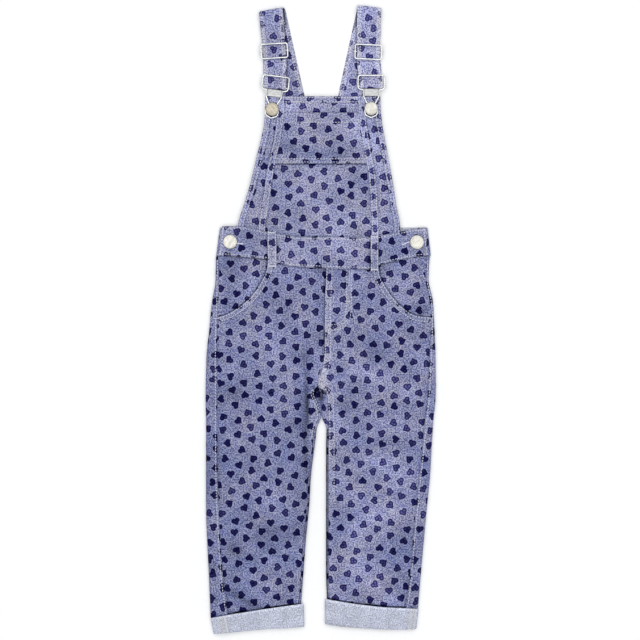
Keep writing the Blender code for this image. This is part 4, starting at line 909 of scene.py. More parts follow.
def make_chambray(cloth):
    """Blue and pale yarns with the heart print on the right side."""
    nodes = new_material("printed_chambray")
    position = nodes.layout()
    rib, yarns, speckle = weave(nodes, position, cloth.rib_pitch)
    cloud = nodes.ramp(nodes.noise(position, 95.0, 3.0, 0.7), 0.36, 0.64)
    light = nodes.weighed((speckle, 0.62), (yarns, 0.16), (rib, 0.05), (cloud, 0.17))
    light = nodes.ramp(light, 0.16, 0.84)
    ground = nodes.blend(nodes.math("POWER", light, 1.2), cloth.blue, cloth.pale)
    dye = nodes.noise(position, 130.0, 3.0, 0.6)
    ground = nodes.blend(nodes.spread(dye, 0.46, 0.64, 0.0, 0.34), ground, (0.190, 0.197, 0.440))
    ground = nodes.blend(nodes.spread(dye, 0.5, 0.34, 0.0, 0.32), ground, (0.235, 0.252, 0.335))
    worn = nodes.times(nodes.attribute("wear"), nodes.spread(speckle, 0.1, 0.9, 0.6, 1.4),
                       clamp=True)
    pale = nodes.blend(speckle, (0.33, 0.335, 0.43), (0.58, 0.58, 0.66))
    ground = nodes.blend(nodes.times(worn, 0.8), ground, pale)
    # The tone attribute carries painted light and shade together with fading and random tone; it
    # scales the whole colour at the end.
    tone = nodes.attribute("tone")
    mask, inside, rim, chance = heart_print(nodes, position, cloth)
    ground = nodes.blend(nodes.times(rim, 0.16), ground, (0.50, 0.505, 0.70))
    # Painted shade is also bluer: the hue follows the tone, mixed with random broad patches.
    broad = nodes.ramp(nodes.noise(position, 27.0), 0.36, 0.64)
    grey = nodes.weighed((nodes.spread(tone, 0.7, 1.1), 0.5), (broad, 0.5))
    hue = nodes.blend(grey, (0.93, 1.0, 1.17), (1.035, 0.985, 0.93))
    ground = nodes.blend(1.0, ground, hue, "MULTIPLY")
    # A heart's middle pales at random and with the tone, so it also follows the painted light and
    # shade.
    faded = nodes.plus(nodes.ramp(chance, 0.0, 1.0, -0.26, 0.26),
                       nodes.ramp(tone, 0.74, 1.2, -0.1, 0.95), clamp=True)
    faded = nodes.times(nodes.math("MAXIMUM", faded, 0.14),
                        nodes.spread(speckle, 0.0, 1.0, 0.7, 1.2))
    faded = nodes.times(faded, nodes.ramp(inside, 0.0, 1.0, 0.16, 0.9), clamp=True)
    ink = nodes.blend(faded, cloth.heart, cloth.heart_middle)
    cover = nodes.times(mask, nodes.ramp(worn, 0.45, 1.3, 1.0, 0.1))
    cover = nodes.times(cover, nodes.spread(yarns, 0.5, 1.0, 1.0, 0.9))
    colour = nodes.scaled(nodes.blend(cover, ground, ink), tone)
    height = nodes.weighed((rib, 0.35), (yarns, 0.5), (speckle, 0.5), (mask, -0.2))
    finish_material(nodes, colour, nodes.spread(light, 0.0, 1.0, 0.94, 0.82),
                    (height, 0.5, 0.00018), specular=0.0, sheen=0.002, sheen_roughness=0.5)


def make_wrong_side(cloth):
    """Pale inner side, with more of the weft showing."""
    nodes = new_material("wrong_side")
    position = nodes.layout()
    rib, yarns, speckle = weave(nodes, position, 1.9 * cloth.rib_pitch)
    cloud = nodes.ramp(nodes.noise(position, 90.0, 3.0, 0.6), 0.35, 0.65)
    light = nodes.weighed((speckle, 0.5), (yarns, 0.14), (rib, 0.2), (cloud, 0.16))
    dark, bright = (tuple(min(1.0, by * c) for c in cloth.wrong_side) for by in (0.5, 1.5))
    ground = nodes.blend(nodes.ramp(light, 0.12, 0.88), dark, bright)
    hue = nodes.noise(position, 210.0, 3.0, 0.6)
    ground = nodes.blend(nodes.spread(hue, 0.47, 0.66, 0.0, 0.5), ground, (0.48, 0.485, 0.65))
    ground = nodes.blend(nodes.attribute("wear"), ground,
                         nodes.blend(speckle, (0.42, 0.42, 0.43), (0.72, 0.70, 0.68)))
    height = nodes.weighed((rib, 0.7), (yarns, 0.5), (speckle, 0.5))
    # The tone attribute scales this colour too, with its painted shade, such as the crotch's recess.
    finish_material(nodes, nodes.scaled(ground, nodes.attribute("tone")), 0.9,
                    (height, 0.6, 0.00022), specular=0.15, sheen=0.06, sheen_roughness=0.5)


def make_thread(sewing):
    nodes = new_material("topstitch_thread")
    position = nodes.place()
    fuzz = nodes.noise(position, 2600.0)
    dark = tuple(0.82 * c for c in sewing.thread)
    colour = nodes.blend(nodes.spread(fuzz, 0.3, 0.7), dark, sewing.thread)
    drift = nodes.spread(nodes.noise(position, 60.0), 0.42, 0.7, 0.0, 0.45)
    colour = nodes.blend(drift, colour, (0.52, 0.53, 0.64))
    finish_material(nodes, colour, 0.7, (fuzz, 0.5, 0.0001), specular=0.35)


def make_metal(name, tint, roughness, scratch, slant):
    """Plated metal: fine scratches, a few dull spots and a little tarnish."""
    nodes = new_material(name)
    position = nodes.place()
    lines = nodes.noise(nodes.vector("MULTIPLY", nodes.rotated(position, slant), scratch), 1.0,
                        3.0, 0.6)
    spots = nodes.noise(position, 420.0, 3.0, 0.6)
    dull = tuple(0.72 * c for c in tint)
    colour = nodes.blend(nodes.spread(spots, 0.4, 0.75), tint, dull)
    colour = nodes.blend(nodes.spread(lines, 0.46, 0.66, 0.0, 0.75), colour, dull)
    gloss = nodes.ramp(lines, 0.25, 0.8, roughness, roughness + 0.18)
    finish_material(nodes, colour, gloss, (lines, 0.12, 0.00002), metallic=1.0)


def make_floor():
    nodes = new_material("studio_floor")
    grain = nodes.spread(nodes.noise(nodes.place(), 240.0, 3.0), 0.3, 0.7)
    colour = nodes.blend(grain, (0.97, 0.97, 0.97), (0.985, 0.985, 0.985))
    finish_material(nodes, colour, 0.9, specular=0.1)


# ---------------------------------------------------------------- sewing
SEWING_LINES = {}      # rows of stitches in pattern millimetres, by the piece that they make
TACKS = []             # the two ends of each thread of the bar tacks
THREAD_LIFT = 0.12     # of a row's middle above the cloth
TACK_LIFT = 0.25
STITCH_SKEW = (0.04, 0.06, 0.12)
STITCH_SIZES = ((0.86, 0.85, 0.85), (1.08, 1.1, 1.1))


def sew(points, group):
    """Keep a row of stitches for the sewing operator."""
    SEWING_LINES.setdefault(group, []).append(resampled(points, 1.2))


def sew_on_cloth(x, y, group, lift=0.0):
    """A row of stitches along the front cloth."""
    x, y = np.broadcast_arrays(np.asarray(x, float), np.asarray(y, float))
    line = resampled(np.c_[x, y, 0.0 * x], 1.5)
    line[:, 2] = cloth_z(line[:, 0], line[:, 1]) + lift + THREAD_LIFT
    SEWING_LINES.setdefault(group, []).append(line)


def bartack(x, y, length, degrees, lift, half_width=0.9, pitch=0.8):
    """Zigzag bar that locks the end of a seam or edges a buttonhole."""
    turns = int(length / pitch)
    along = np.linspace(-length / 2.0, length / 2.0, turns)
    over = np.where(np.arange(turns) % 2, half_width, -half_width)
    u, v = turn((along, over), degrees)
    line = np.c_[x + u, y + v, cloth_z(x + u, y + v) + lift + TACK_LIFT]
    TACKS.extend(line[k:k + 2] for k in range(turns - 1))


def stitch_tree():
    """Geometry nodes: a thread bead for every stitch along each line."""
    tree = bpy.data.node_groups.new("stitch_rows", "GeometryNodeTree")
    sizes = {}
    for name, kind in (("Geometry", "Geometry"), ("Stitch Pitch", "Float"),
                       ("Stitch Length", "Float"), ("Thread Width", "Float"), ("Seed", "Int"),
                       ("Thread", "Material")):
        sizes[name] = tree.interface.new_socket(name, in_out="INPUT",
                                                socket_type="NodeSocket" + kind).identifier
    tree.interface.new_socket("Geometry", in_out="OUTPUT", socket_type="NodeSocketGeometry")
    nodes = Nodes(tree)
    given = nodes.add("NodeGroupInput").outputs
    line = nodes.add("GeometryNodeResampleCurve", {
        "Curve": given["Geometry"], "Length": given["Stitch Pitch"]}, mode="LENGTH")
    bead = nodes.add("GeometryNodeMeshUVSphere", {"Segments": 6, "Rings": 5, "Radius": 0.5})
    size = nodes.joined(given["Stitch Length"], given["Thread Width"], given["Thread Width"])
    bead = nodes.add("GeometryNodeTransform", {"Geometry": bead.outputs["Mesh"], "Scale": size})
    bead = nodes.add("GeometryNodeSetShadeSmooth", {"Geometry": bead.outputs[0]})
    along = nodes.add("GeometryNodeInputTangent").outputs[0]
    aim = nodes.add("FunctionNodeAlignRotationToVector", {"Vector": along}, axis="X",
                    pivot_axis="AUTO")
    skew, scale = (nodes.add("FunctionNodeRandomValue", {
        "Min": low, "Max": high, "Seed": given["Seed"],
    }, data_type="FLOAT_VECTOR").outputs[0] for low, high in (
        (tuple(-angle for angle in STITCH_SKEW), STITCH_SKEW), STITCH_SIZES))
    turned = nodes.add("FunctionNodeRotateRotation", {
        "Rotation": aim.outputs[0], "Rotate By": skew}, rotation_space="LOCAL")
    rows = nodes.add("GeometryNodeInstanceOnPoints", {
        "Points": line.outputs["Curve"], "Instance": bead.outputs[0],
        "Rotation": turned.outputs[0], "Scale": scale})
    real = nodes.add("GeometryNodeRealizeInstances", {"Geometry": rows.outputs[0]})
    done = nodes.add("GeometryNodeSetMaterial", {"Geometry": real.outputs[0],
                                                 "Material": given["Thread"]})
    nodes.add("NodeGroupOutput", {"Geometry": done.outputs[0]})
    return tree, sizes


def stitch_object(name, lines, tree, sizes, sewing):
    """Run the stitch tree on a set of lines and keep the result as a plain mesh."""
    curve = bpy.data.curves.new(name + "_lines", "CURVE")
    curve.dimensions = "3D"
    for points in lines:
        spline = curve.splines.new("POLY")
        spline.points.add(len(points) - 1)
        spline.points.foreach_set("co", np.c_[shift(points), np.ones(len(points))].ravel())
    source = bpy.data.objects.new(name + "_lines", curve)
    bpy.context.scene.collection.objects.link(source)
    rows = source.modifiers.new("stitches", "NODES")
    rows.node_group = tree
    for key, value in (("Stitch Pitch", sewing.stitch_pitch),
                       ("Stitch Length", sewing.stitch_length),
                       ("Thread Width", sewing.thread_width), ("Seed", sewing.seed),
                       ("Thread", MATERIALS["topstitch_thread"])):
        rows[sizes[key]] = value
    graph = bpy.context.evaluated_depsgraph_get()
    mesh = bpy.data.meshes.new_from_object(source.evaluated_get(graph), depsgraph=graph)
    bpy.data.objects.remove(source, do_unlink=True)
    mesh.name = name
    materials = [] if mesh.materials else ["topstitch_thread"]
    hand_over(new_object(name, mesh, *materials), "printed_chambray")


# ---------------------------------------------------------------- legs
LEG_WIDTH = 125.0      # across a leg, for the number of grid lines
HIP_WIDTH = 60.0
HIP_COUNT = 50
SIDE_LAP = 0.8         # how far the fronts and hip pieces pass the side seam
BINDING_LIFT = 0.55
BINDING_ROWS = (1.3, 5.7)   # rows of stitches, in from the pocket's edge
FRONT_ROWS = (1.3, 7.2)     # rows of stitches, from the centre front seam
HEM_SHADE = 0.7        # how far the cuff's shade starts below the hem's line
FOLD_ARC = np.radians(FOLD_ANGLES)
HALF_TURN = np.radians(np.linspace(90.0, -90.0, 12))
INSEAM_ROWS = (        # leg, distance from the inseam, y of the row's top and end
    ("right", 1.4, -91.0, -165.0), ("right", 6.6, -84.0, -215.0),
    ("left", -0.7, -85.0, -112.0), ("left", 1.7, -84.0, -140.0),
)
FLY_ROWS = (           # x, y along each row of the mock fly's stitching
    ((31.6, 58.0), (31.0, 38.0), (31.0, 18.0), (29.2, 4.0), (24.6, -2.5), (16.0, -6.0),
     (6.6, -6.6)),
    ((37.4, 58.0), (37.0, 38.0), (36.8, 18.0), (35.2, 2.0), (29.6, -7.0), (20.0, -12.0),
     (6.6, -13.0)),
)
BARTACKS = (           # x, y of the middle, length, degrees
    (32.6, 21.6, 6.0, 0.0), (9.6, -13.8, 6.0, 90.0),
)
BUTTONHOLES = (        # the same for the ends of the buttonholes that show
    (-95.6, 90.2, 8.0, -4.0), (101.6, 90.7, 9.5, 21.0),
)


def cuff_bow(share, word):
    """How far a cuff hangs below its straight line, at a share of its width."""
    return CUFF_BOW[word] * np.sin(math.pi * np.clip(share, 0.0, 1.0))


def hem_y(x, word):
    """y of a leg's slanted hem."""
    x_outer, y_outer, x_inner, y_inner = HEM[word]
    share = (x - x_inner) / (x_outer - x_inner)
    return y_inner + share * (y_outer - y_inner) - cuff_bow(share, word)


def bend_rows(x, y, word, waist=None):
    """Bend nominal rows to the waistband above and to the slanted hem below."""
    x, y = np.broadcast_arrays(np.asarray(x, float), np.asarray(y, float))
    top = (y - WAIST_BEND) / (LEG_TOP - WAIST_BEND)
    edge = waist_low(x) + GAP if waist is None else waist - GAP
    y_top = WAIST_BEND + top * (edge - WAIST_BEND)
    foot = (y - HEM_BEND) / (LEG_END - HEM_BEND)
    y_foot = HEM_BEND + foot * (hem_y(x, word) - 1.0 - HEM_BEND)
    return np.where(y > WAIST_BEND, y_top, np.where(y < HEM_BEND, y_foot, y))


def inner_edge(word, y):
    """x of the centre front seam, and of the inseam below the crotch."""
    return np.where(y > CROTCH, table_value(FRONT_SEAM, y) + SIDE[word] * 0.05,
                    table_value(INSEAM[word], y))


def leg_rows(step):
    y = np.linspace(LEG_TOP, LEG_END, int((LEG_TOP - LEG_END) / step) + 1)
    marks = (CROTCH, CROTCH_FLAT, CROTCH_FOLD, -84.0, -87.0, POCKET_FOOT, LEG_TOP - 0.5,
             LEG_END + 0.5)
    return np.unique(np.r_[y, marks])[::-1]


def pocket_x(word, y):
    return smooth_curve([p[1] for p in POCKET[word]], [p[0] for p in POCKET[word]], y)


def towards_panel(normal, side):
    """Normals of a pocket's edge turned to point down and inwards, over the front panel."""
    return np.where(normal[:, 1:2] + side * normal[:, 0:1] > 0, -normal, normal)


def make_leg_front(word, step):
    y = leg_rows(step)[:, None]
    outer = np.where(y >= POCKET_FOOT, pocket_x(word, y),
                     leg_x(word, "side_seam", y) + SIDE[word] * SIDE_LAP)
    x = outer + (inner_edge(word, y) - outer) * stations(LEG_WIDTH, step)
    y = bend_rows(x, y, word)
    # Painted shadows beside the side seam's edge, under the waistband and the cuff, and along the
    # fly's edge on the left.
    dark = (under_edge(x - leg_x(word, "side_seam", y), x, y, 0.35)
            + under_edge(waist_low(x) - y, x, y)
            + under_edge(y - hem_y(x, word) - HEM_SHADE, x, y, 1.0))
    if word == "left":
        fly = under_edge(x - table_value(FRONT_SEAM, y) + 0.5, x, y, 0.42)
        dark = dark + fly * ease(-66.0, -50.0, y)
    tone, print_x = (0.84, -3.0) if word == "left" else (0.98, 7.0)
    flat_piece("leg_front_" + word, x, y, cloth_z(x, y), offset=(print_x, 4.0),
               tone=tone * (1.0 - dark), wear=wear_at(x, y), rests_on=["leg_back_" + word],
               edge_wear=0.2, edge_tone=0.0)


def inner_fold(u_inner, u_front, high, front_height, share):
    """Line of a leg's fold at the inseam, from the floor up and over."""
    start = u_inner + FOLD
    sweep = max(LEAST_SWEEP, (u_front - u_inner) * share ** 2)
    path = [(start, 0.0)]
    path += [(start - FOLD * math.sin(a), high - high * math.cos(a)) for a in FOLD_ARC]
    path += [(u_inner + sweep * (1.0 - math.cos(a)), high + (front_height - high) * math.sin(a))
             for a in FOLD_ARC]
    step = np.diff(np.array(path), axis=0)
    length = np.hypot(step[:, 0], step[:, 1])
    heading = np.arctan2(step[:, 1], -step[:, 0]) * share
    reach = summed(length * np.cos(heading), 0)
    scale = FOLD / reach.max()
    return list(zip(start - scale * reach, scale * summed(length * np.sin(heading), 0)))


def back_section(word, y):
    """Outer line of a leg's back piece at one row, from side seam to inseam, as (x, z)."""
    side = SIDE[word]
    u_outer, u_side, u_inner = (float(side * leg_x(word, name, y))
                                for name in ("outer", "side_seam", "inner"))
    u_seam = min(u_side - 0.5, u_outer - FOLD - 0.4)
    u_front = float(side * inner_edge(word, y) - 0.15)

    def height_at(u):
        return float(cloth_z(side * u, bend_rows(side * u, y, word, BACK_WAIST[0])))

    high = height_at(u_outer - FOLD) / 2.0
    line = [(u, height_at(u) + 0.45 * (1.0 - float(ease(2.5, 7.0, u - u_seam))))
            for u in np.linspace(u_seam, u_outer - FOLD, 9)[:-1]]
    line += [(u_outer - FOLD + FOLD * math.cos(a), high + high * math.sin(a))
             for a in np.radians(np.linspace(90.0, -90.0, 13))]
    line += [(u, 0.0) for u in np.linspace(u_outer - FOLD, u_inner + FOLD, 34)[1:-1]]
    share = float(np.clip((CROTCH_FLAT - y) / (CROTCH_FLAT - CROTCH_FOLD), 0.0, 1.0))
    return np.array(line + inner_fold(u_inner, u_front, high, height_at(u_front) - 0.05, share))


def make_leg_back(word, step):
    side = SIDE[word]
    top, uv = [], []
    for y in leg_rows(step * 1.4):
        line = back_section(word, y)
        x = side * line[:, 0]
        reach = run_length(line)
        fold = int(np.argmax(line[:, 0]))
        top.append(np.c_[x, bend_rows(x, y, word, BACK_WAIST[0]), line[:, 1]])
        uv.append(np.c_[side * (line[fold, 0] - (reach - reach[fold])), np.full(len(x), y)])
    top = np.array(top)
    x, y = top[:, :, 0], top[:, :, 1]
    # Painted shade in the crotch's recess, along the inner fold below the crotch and under the cuff.
    recess = 0.42 * bell(x - 1.8, 3.2) * bell(y + 93.0, 4.5)
    recess = recess + 0.36 * np.exp(-((x + 1.0) / 8.0) ** 4 - ((y + 89.0) / 9.5) ** 4)
    inner = x - leg_x(word, "inner", y)
    tone, rim = (0.85, 0.3) if word == "left" else (0.95, 0.75)
    dark = (recess + rim * bell(inner - side, 1.3) * (y < -130.0)
            + under_edge(y - hem_y(x, word) - HEM_SHADE, x, y, 0.8))
    cloth_piece("leg_back_" + word, top, uv=np.array(uv), offset=(5.0, 9.0), up=False,
                tone=tone * np.maximum(1.0 - dark, LEAST_TONE), inner="printed_chambray",
                rests_on=["floor"])


def make_hip_piece(word, step):
    """Side piece behind the pocket's scooped edge; it dips under the front panel there."""
    side = SIDE[word]
    edge, normal = curve_points(POCKET[word], HIP_COUNT)
    start = edge + towards_panel(normal, side) * POCKET_UNDERLAP
    y1 = np.linspace(LEG_TOP, POCKET_FOOT - POCKET_UNDERLAP, HIP_COUNT)[:, None]
    x1 = leg_x(word, "side_seam", y1) + side * SIDE_LAP
    x0 = side * np.minimum(side * start[:, :1], side * x1 - 3.0)
    y0 = np.maximum(np.minimum(start[:, 1:], LEG_TOP), y1 - 14.0)
    across = stations(HIP_WIDTH, step)
    x, y = x0 + (x1 - x0) * across, y0 + (y1 - y0) * across
    away = np.minimum.reduce([segment_distance(x, y, *a, *b)[0]
                              for a, b in zip(edge[:-1], edge[1:])])
    inside = (side * x > side * pocket_x(word, np.maximum(y, POCKET_FOOT))) & (y > POCKET_FOOT)
    drop = (CLOTH + 0.35) * (1.0 - ease(*HIP_DIP, np.where(inside, away, 0.0)))
    y = bend_rows(x, y, word)
    shade = 1.0 - 0.6 * ease(1.2, 1.5, drop) - under_edge(waist_low(x) - y, x, y)
    flat_piece("hip_piece_" + word, x, y, cloth_z(x, y) - drop, offset=(11.0 * side, -6.0),
               tone=(0.95 if side < 0 else 1.03) * shade, rests_on=["leg_back_" + word])


def make_pocket_binding(word):
    """Stitched band along the scooped edge, and its two rows of stitches."""
    edge, normal = curve_points(POCKET[word], 70)
    inward = towards_panel(normal, SIDE[word])
    across = stations(BINDING_WIDTH, 1.3)
    x, y = np.moveaxis(edge[:, None] + (inward * BINDING_WIDTH)[:, None] * across[:, None], 2, 0)
    y = bend_rows(x, np.minimum(y, LEG_TOP), word)
    crown = 0.2 * np.sin(math.pi * across)
    z = cloth_z(x, y) + BINDING_LIFT + crown + 0.10 * soft_noise(x, y, 5.0, 12)
    cloth_piece("pocket_binding_" + word, np.dstack([x, y, z]), thickness=0.7, wear=0.28,
                tone=0.9, offset=(5.0, 3.0), edge_wear=0.1, edge_tone=-0.2)
    for inset in BINDING_ROWS:
        x, y = (edge + inward * inset).T
        y = bend_rows(x, np.minimum(y, LEG_TOP - 1.0), word)
        sew(np.c_[x, y, cloth_z(x, y) + BINDING_LIFT + 0.2], "stitches_hips")


def leg_sewing():
    """Rows of stitches and bar tacks on the legs' fronts."""
    for word in SIDE:
        y = np.linspace(64.0, LEG_END, 120)
        x = leg_x(word, "side_seam", y) + SIDE[word] * 1.7
        sew_on_cloth(x, bend_rows(x, y, word), "stitches_legs", 0.42)
    for word, inset, y_top, y_end in INSEAM_ROWS:
        y = np.linspace(y_top, y_end, 90)
        x = table_value(INSEAM[word], y) + SIDE[word] * inset
        sew_on_cloth(x, bend_rows(x, y, word), "stitches_legs")
    y = np.linspace(60.0, CROTCH + 2.0, 60)
    for inset in FRONT_ROWS:
        sew_on_cloth(table_value(FRONT_SEAM, y) + inset, y, "stitches_legs")
    sew_on_cloth((1.0, 8.2), (-77.0, -86.5), "stitches_legs")
    for row in FLY_ROWS:
        sew_on_cloth(*curve_points(row, 60)[0].T, "stitches_legs")
    for tack in BARTACKS:
        bartack(*tack, 0.05)


# ---------------------------------------------------------------- cuffs
CUFF_LENGTH = 28.0
CUFF_WIDTH = 112.0
CUFF_FLAT = 60         # grid lines across a cuff's flat side
CUFF_SEAMS = {         # middle of the side seam's allowance as a share of the width, half width
    "left": (0.125, 5.5),
    "right": (0.06, 4.0),
}


def cuff_line(word, t):
    """Start, direction and width of a cuff at a share of its length."""
    x0, y0, x1, y1 = (mix(a, b, t) for a, b in zip(HEM[word], CUFF_EDGE[word]))
    width = math.hypot(x1 - x0, y1 - y0)
    return np.array([x0, y0]), np.array([x1 - x0, y1 - y0]) / width, width


def make_cuff(word, step):
    """Turned-up hem: a flat tube of double cloth with the leg's side seam inside out on it."""
    seam_at, seam_half = CUFF_SEAMS[word]
    top, low = [], []
    middle = CUFF_HEIGHT / 2.0
    bend, rise = np.cos(HALF_TURN[:-1]), np.sin(HALF_TURN[:-1])
    level = np.ones(CUFF_FLAT - 1)
    for t in stations(CUFF_LENGTH, step, 0.6):
        start, across, width = cuff_line(word, t)
        down = right_of(across) * np.sign(across[0])
        from_end = min(t, 1.0 - t) * CUFF_LENGTH
        round_off = 0.85 * max(0.0, 1.0 - from_end / 1.6) ** 2
        flat = np.linspace(CUFF_FOLD, width - CUFF_FOLD, CUFF_FLAT)
        for grid, inset, lower, narrower in ((top, 0.0, 1.0, 0.6), (low, CUFF_WALL, -0.4, 0.0)):
            high = middle - inset - lower * round_off
            radius = CUFF_FOLD - inset - narrower * round_off
            d = np.r_[flat[:-1], width - CUFF_FOLD + radius * bend, flat[:0:-1],
                      CUFF_FOLD - radius * bend]
            z = middle + high * np.r_[level, rise, -level, -rise]
            spot = start + d[:, None] * across
            spot[:, 1] -= cuff_bow(d / width, word)
            seam = np.exp(-((d - seam_at * width) / seam_half) ** 4)
            wave = 0.35 * soft_noise(*spot.T, 17.0, 21) + 0.15 * soft_noise(*spot.T, 7.0, 22)
            z = z + np.where(z > middle, wave + 0.55 * seam, 0.0)
            edge = 0.35 * soft_noise(d, 0.0 * d, 22.0, 23 + int(t > 0.5))
            grid.append(np.c_[spot + down * edge[:, None], np.maximum(z, 0.0)])
    top, low = np.array(top), np.array(low)
    flat = unrolled(top)
    from_seam = np.abs(flat[:, :, 0] + CUFF_FOLD - seam_at * CUFF_WIDTH)
    band = 1.0 - ease(seam_half - 1.0, seam_half + 0.5, from_seam)
    down = np.linalg.norm(top - top[:1], axis=2)
    # Painted highlight along the cuff's top edge, painted shade along its folded bottom edge and
    # beside the seam allowance, a slightly darker seam band, and random tone.
    tone = (1.0 - 0.05 * band - 0.14 * bell(from_seam - seam_half - 0.5, 0.9)
            + 0.06 * soft_noise(top[:, :, 0], top[:, :, 1], 14.0, 31)
            + 0.42 * bell(down - 0.8, 1.5) - 0.2 * bell(CUFF_LENGTH - down, 1.2))
    gap = np.linalg.norm(top[:, 0] - top[:, -1], axis=1)
    closing = flat[:, -1] + np.c_[gap, 0.0 * gap]
    piece = cloth_mesh("cuff_" + word + "_cloth", top, low,
                       np.concatenate([flat, closing[:, None]], axis=1), tone, 0.45 * band,
                       "wrong_side", "printed_chambray", ring=True)
    hand_over(piece, "cuff_cloth", "cuff_" + word)
    for inset, lean in ((-seam_half, 1.2), (0.6 * seam_half, -1.2)):
        for t in np.linspace(0.08, 0.92, 9):
            start, across, width = cuff_line(word, t)
            x, y = start + (seam_at * width + inset) * across
            y -= cuff_bow(seam_at, word)
            z = CUFF_HEIGHT + 0.3 + 0.35 * soft_noise(x, y, 17.0, 21)
            TACKS.append(np.array([(x - 1.2, y - lean, z), (x + 1.2, y + lean, z)]))


# ---------------------------------------------------------------- waist
BAND_HEIGHT = 36.0
BAND_WIDTH = 250.0
BACK_BAND_HEIGHT = 34.0
BAND_ROWS = (2.4 / BAND_HEIGHT, 1.0 - 2.2 / BAND_HEIGHT)   # rows of stitches, as shares
LOOP_SIZE = (10.0, 43.0)
LOOP_LIFT = 1.2


def waist_x(ends, t, across):
    """x on a band that runs between two slanted ends."""
    return mix(mix(*ends[0], t), mix(*ends[1], t), across)


def make_waistband_front(step):
    along = stations(BAND_HEIGHT, step)[:, None]
    x = waist_x(WAIST_ENDS, along, stations(BAND_WIDTH, step))
    y = waist_low(x) + along * (waist_high(x) - waist_low(x))
    rows = np.minimum(along, 1.0 - along) * BAND_HEIGHT
    z = (cloth_z(x, y) + WAIST_STEP + 0.25 * np.sin(math.pi * along)
         + 0.12 * soft_noise(x, y, 9.0, 41) - 0.22 * bell(rows - 2.0, 0.9)
         + 0.10 * bell(rows, 5.0) * puckers(x, x, y, *WAIST_PUCKERS))
    # Painted shadows beside both long edges of each belt loop.
    dark = np.zeros_like(x)
    for top, foot in LOOPS.values():
        t = np.clip((y - foot[2]) / (top[2] - foot[2]), 0.0, 1.0)
        for k, gap, amount in ((0, 0.3, 0.6), (1, -0.3, 0.3)):
            away = x - mix(foot[k], top[k], t) + gap
            dark = dark + (t > 0.02) * under_edge(away, x, y, amount)
    flat_piece("waistband_front", x, y, z, offset=(3.0, 31.0), thickness=BAND, wear=0.12,
               tone=0.98 * (1.0 - dark), edge_wear=0.7, edge_tone=0.0,
               rests_on=["leg_front_left", "leg_front_right", "waistband_back"])
    for t in BAND_ROWS:
        x = waist_x(WAIST_ENDS, t, np.linspace(0.006, 0.994, 160))
        sew_on_cloth(x, mix(waist_low(x), waist_high(x), t), "stitches_waist", WAIST_STEP + 0.02)
    t = np.linspace(0.06, 0.94, 14)
    for ends, inset in zip(WAIST_ENDS, (2.0, -2.0)):
        x = mix(*ends, t) + inset
        sew_on_cloth(x, mix(waist_low(x), waist_high(x), t), "stitches_waist", WAIST_STEP + 0.05)
    for hole in BUTTONHOLES:
        bartack(*hole, WAIST_STEP + 0.05, 0.6, 0.5)


def make_waistband_back():
    """Back band: flat on the floor, round both sides, its ends under the front band's."""
    top = []
    for t in stations(BACK_BAND_HEIGHT, COARSE):
        y = mix(*BACK_WAIST, t)
        left, right = (mix(*ends, t) for ends in WAIST_SILHOUETTE)
        ends = []
        for x, way in ((right, 1.0), (left, -1.0)):
            height = float(cloth_z(x, y)) + WAIST_STEP - BAND - 0.1
            half = height / 2.0
            ends.append([(x - way * (FOLD + lap), height) for lap in (WAIST_LAP, WAIST_LAP / 2.0)]
                        + [(x - way * FOLD * (1.0 - math.cos(a)), half + half * math.sin(a))
                           for a in HALF_TURN])
        under = [(x, 0.0) for x in np.linspace(right - FOLD, left + FOLD, 62)[1:-1]]
        line = np.array(ends[0] + under + ends[1][::-1])
        top.append(np.c_[line[:, 0], np.full(len(line), y), line[:, 1]])
    cloth_piece("waistband_back", np.array(top), offset=(2.0, 5.0), up=False, tone=0.95,
                rests_on=["floor"])


def make_belt_loop(word):
    """Narrow strip over the waistband, arched a little in the middle."""
    top, foot = LOOPS[word]
    across = stations(LOOP_SIZE[0], 1.6)
    t = stations(LOOP_SIZE[1], NARROW)[:, None]
    x = mix(mix(top[0], foot[0], t), mix(top[1], foot[1], t), across)
    y = mix(top[2], foot[2], t) + 0.0 * x
    z = (cloth_z(x, y) + WAIST_STEP + 1.25 + LOOP_ARCH * np.sin(math.pi * t) ** 2
         + 0.18 * bell(across - 0.5, 0.22) - 0.08)
    grid = np.dstack([x, y, z])
    cloth_piece("belt_loop_" + word, grid, thickness=1.0, wear=0.35, tone=0.98,
                offset=(4.0, 8.0), edge_wear=0.3, edge_tone=0.0)
    for share in (0.17, 0.83):
        k = int(round(share * (len(across) - 1)))
        sew(grid[1:-1, k] + (0.0, 0.0, THREAD_LIFT), "stitches_waist")
    for y in (top[2] - 1.6, foot[2] + 1.6):
        bartack((top[0] + top[1]) / 2.0, y, 8.5, 0.0, WAIST_STEP + LOOP_LIFT)


# ---------------------------------------------------------------- bib
HALF_STRIP = STRIP_WIDTH / 2.0
BIB_FOOT = 112.0       # nominal row at the waistband
BIB_BEND = 141.0       # below this the rows bend to the waistband
STRIP_END = 110.0      # about where a strip ends
STRIP_FOOT = 100.0     # row at which its line is taken for its end at the waistband
STRIP_LIFT = 0.62
STRIP_CLOTH = 0.7
ON_STRIP = 0.66        # of a row of stitches above the cloth under its strip
TOP_HEM_WIDTH = 122.0
TOP_HEM_ROWS = (1.6, 6.6)
POCKET_WIDTH = 106.0
POCKET_HEM = 11.6      # from the bib pocket's top to the stitches of its hem
BACK_BIB_SIZE = (130.0, 93.0)
BIB_PANELS = (         # name, lines on both sides, offset of the print, tone
    ("bib_centre", "left_seam", "right_seam", (2.0, 17.0), 0.96),
    ("bib_side_left", "left_edge", "left_seam", (13.0, 5.0), 1.1),
    ("bib_side_right", "right_seam", "right_edge", (-5.0, 9.0), 1.12),
)
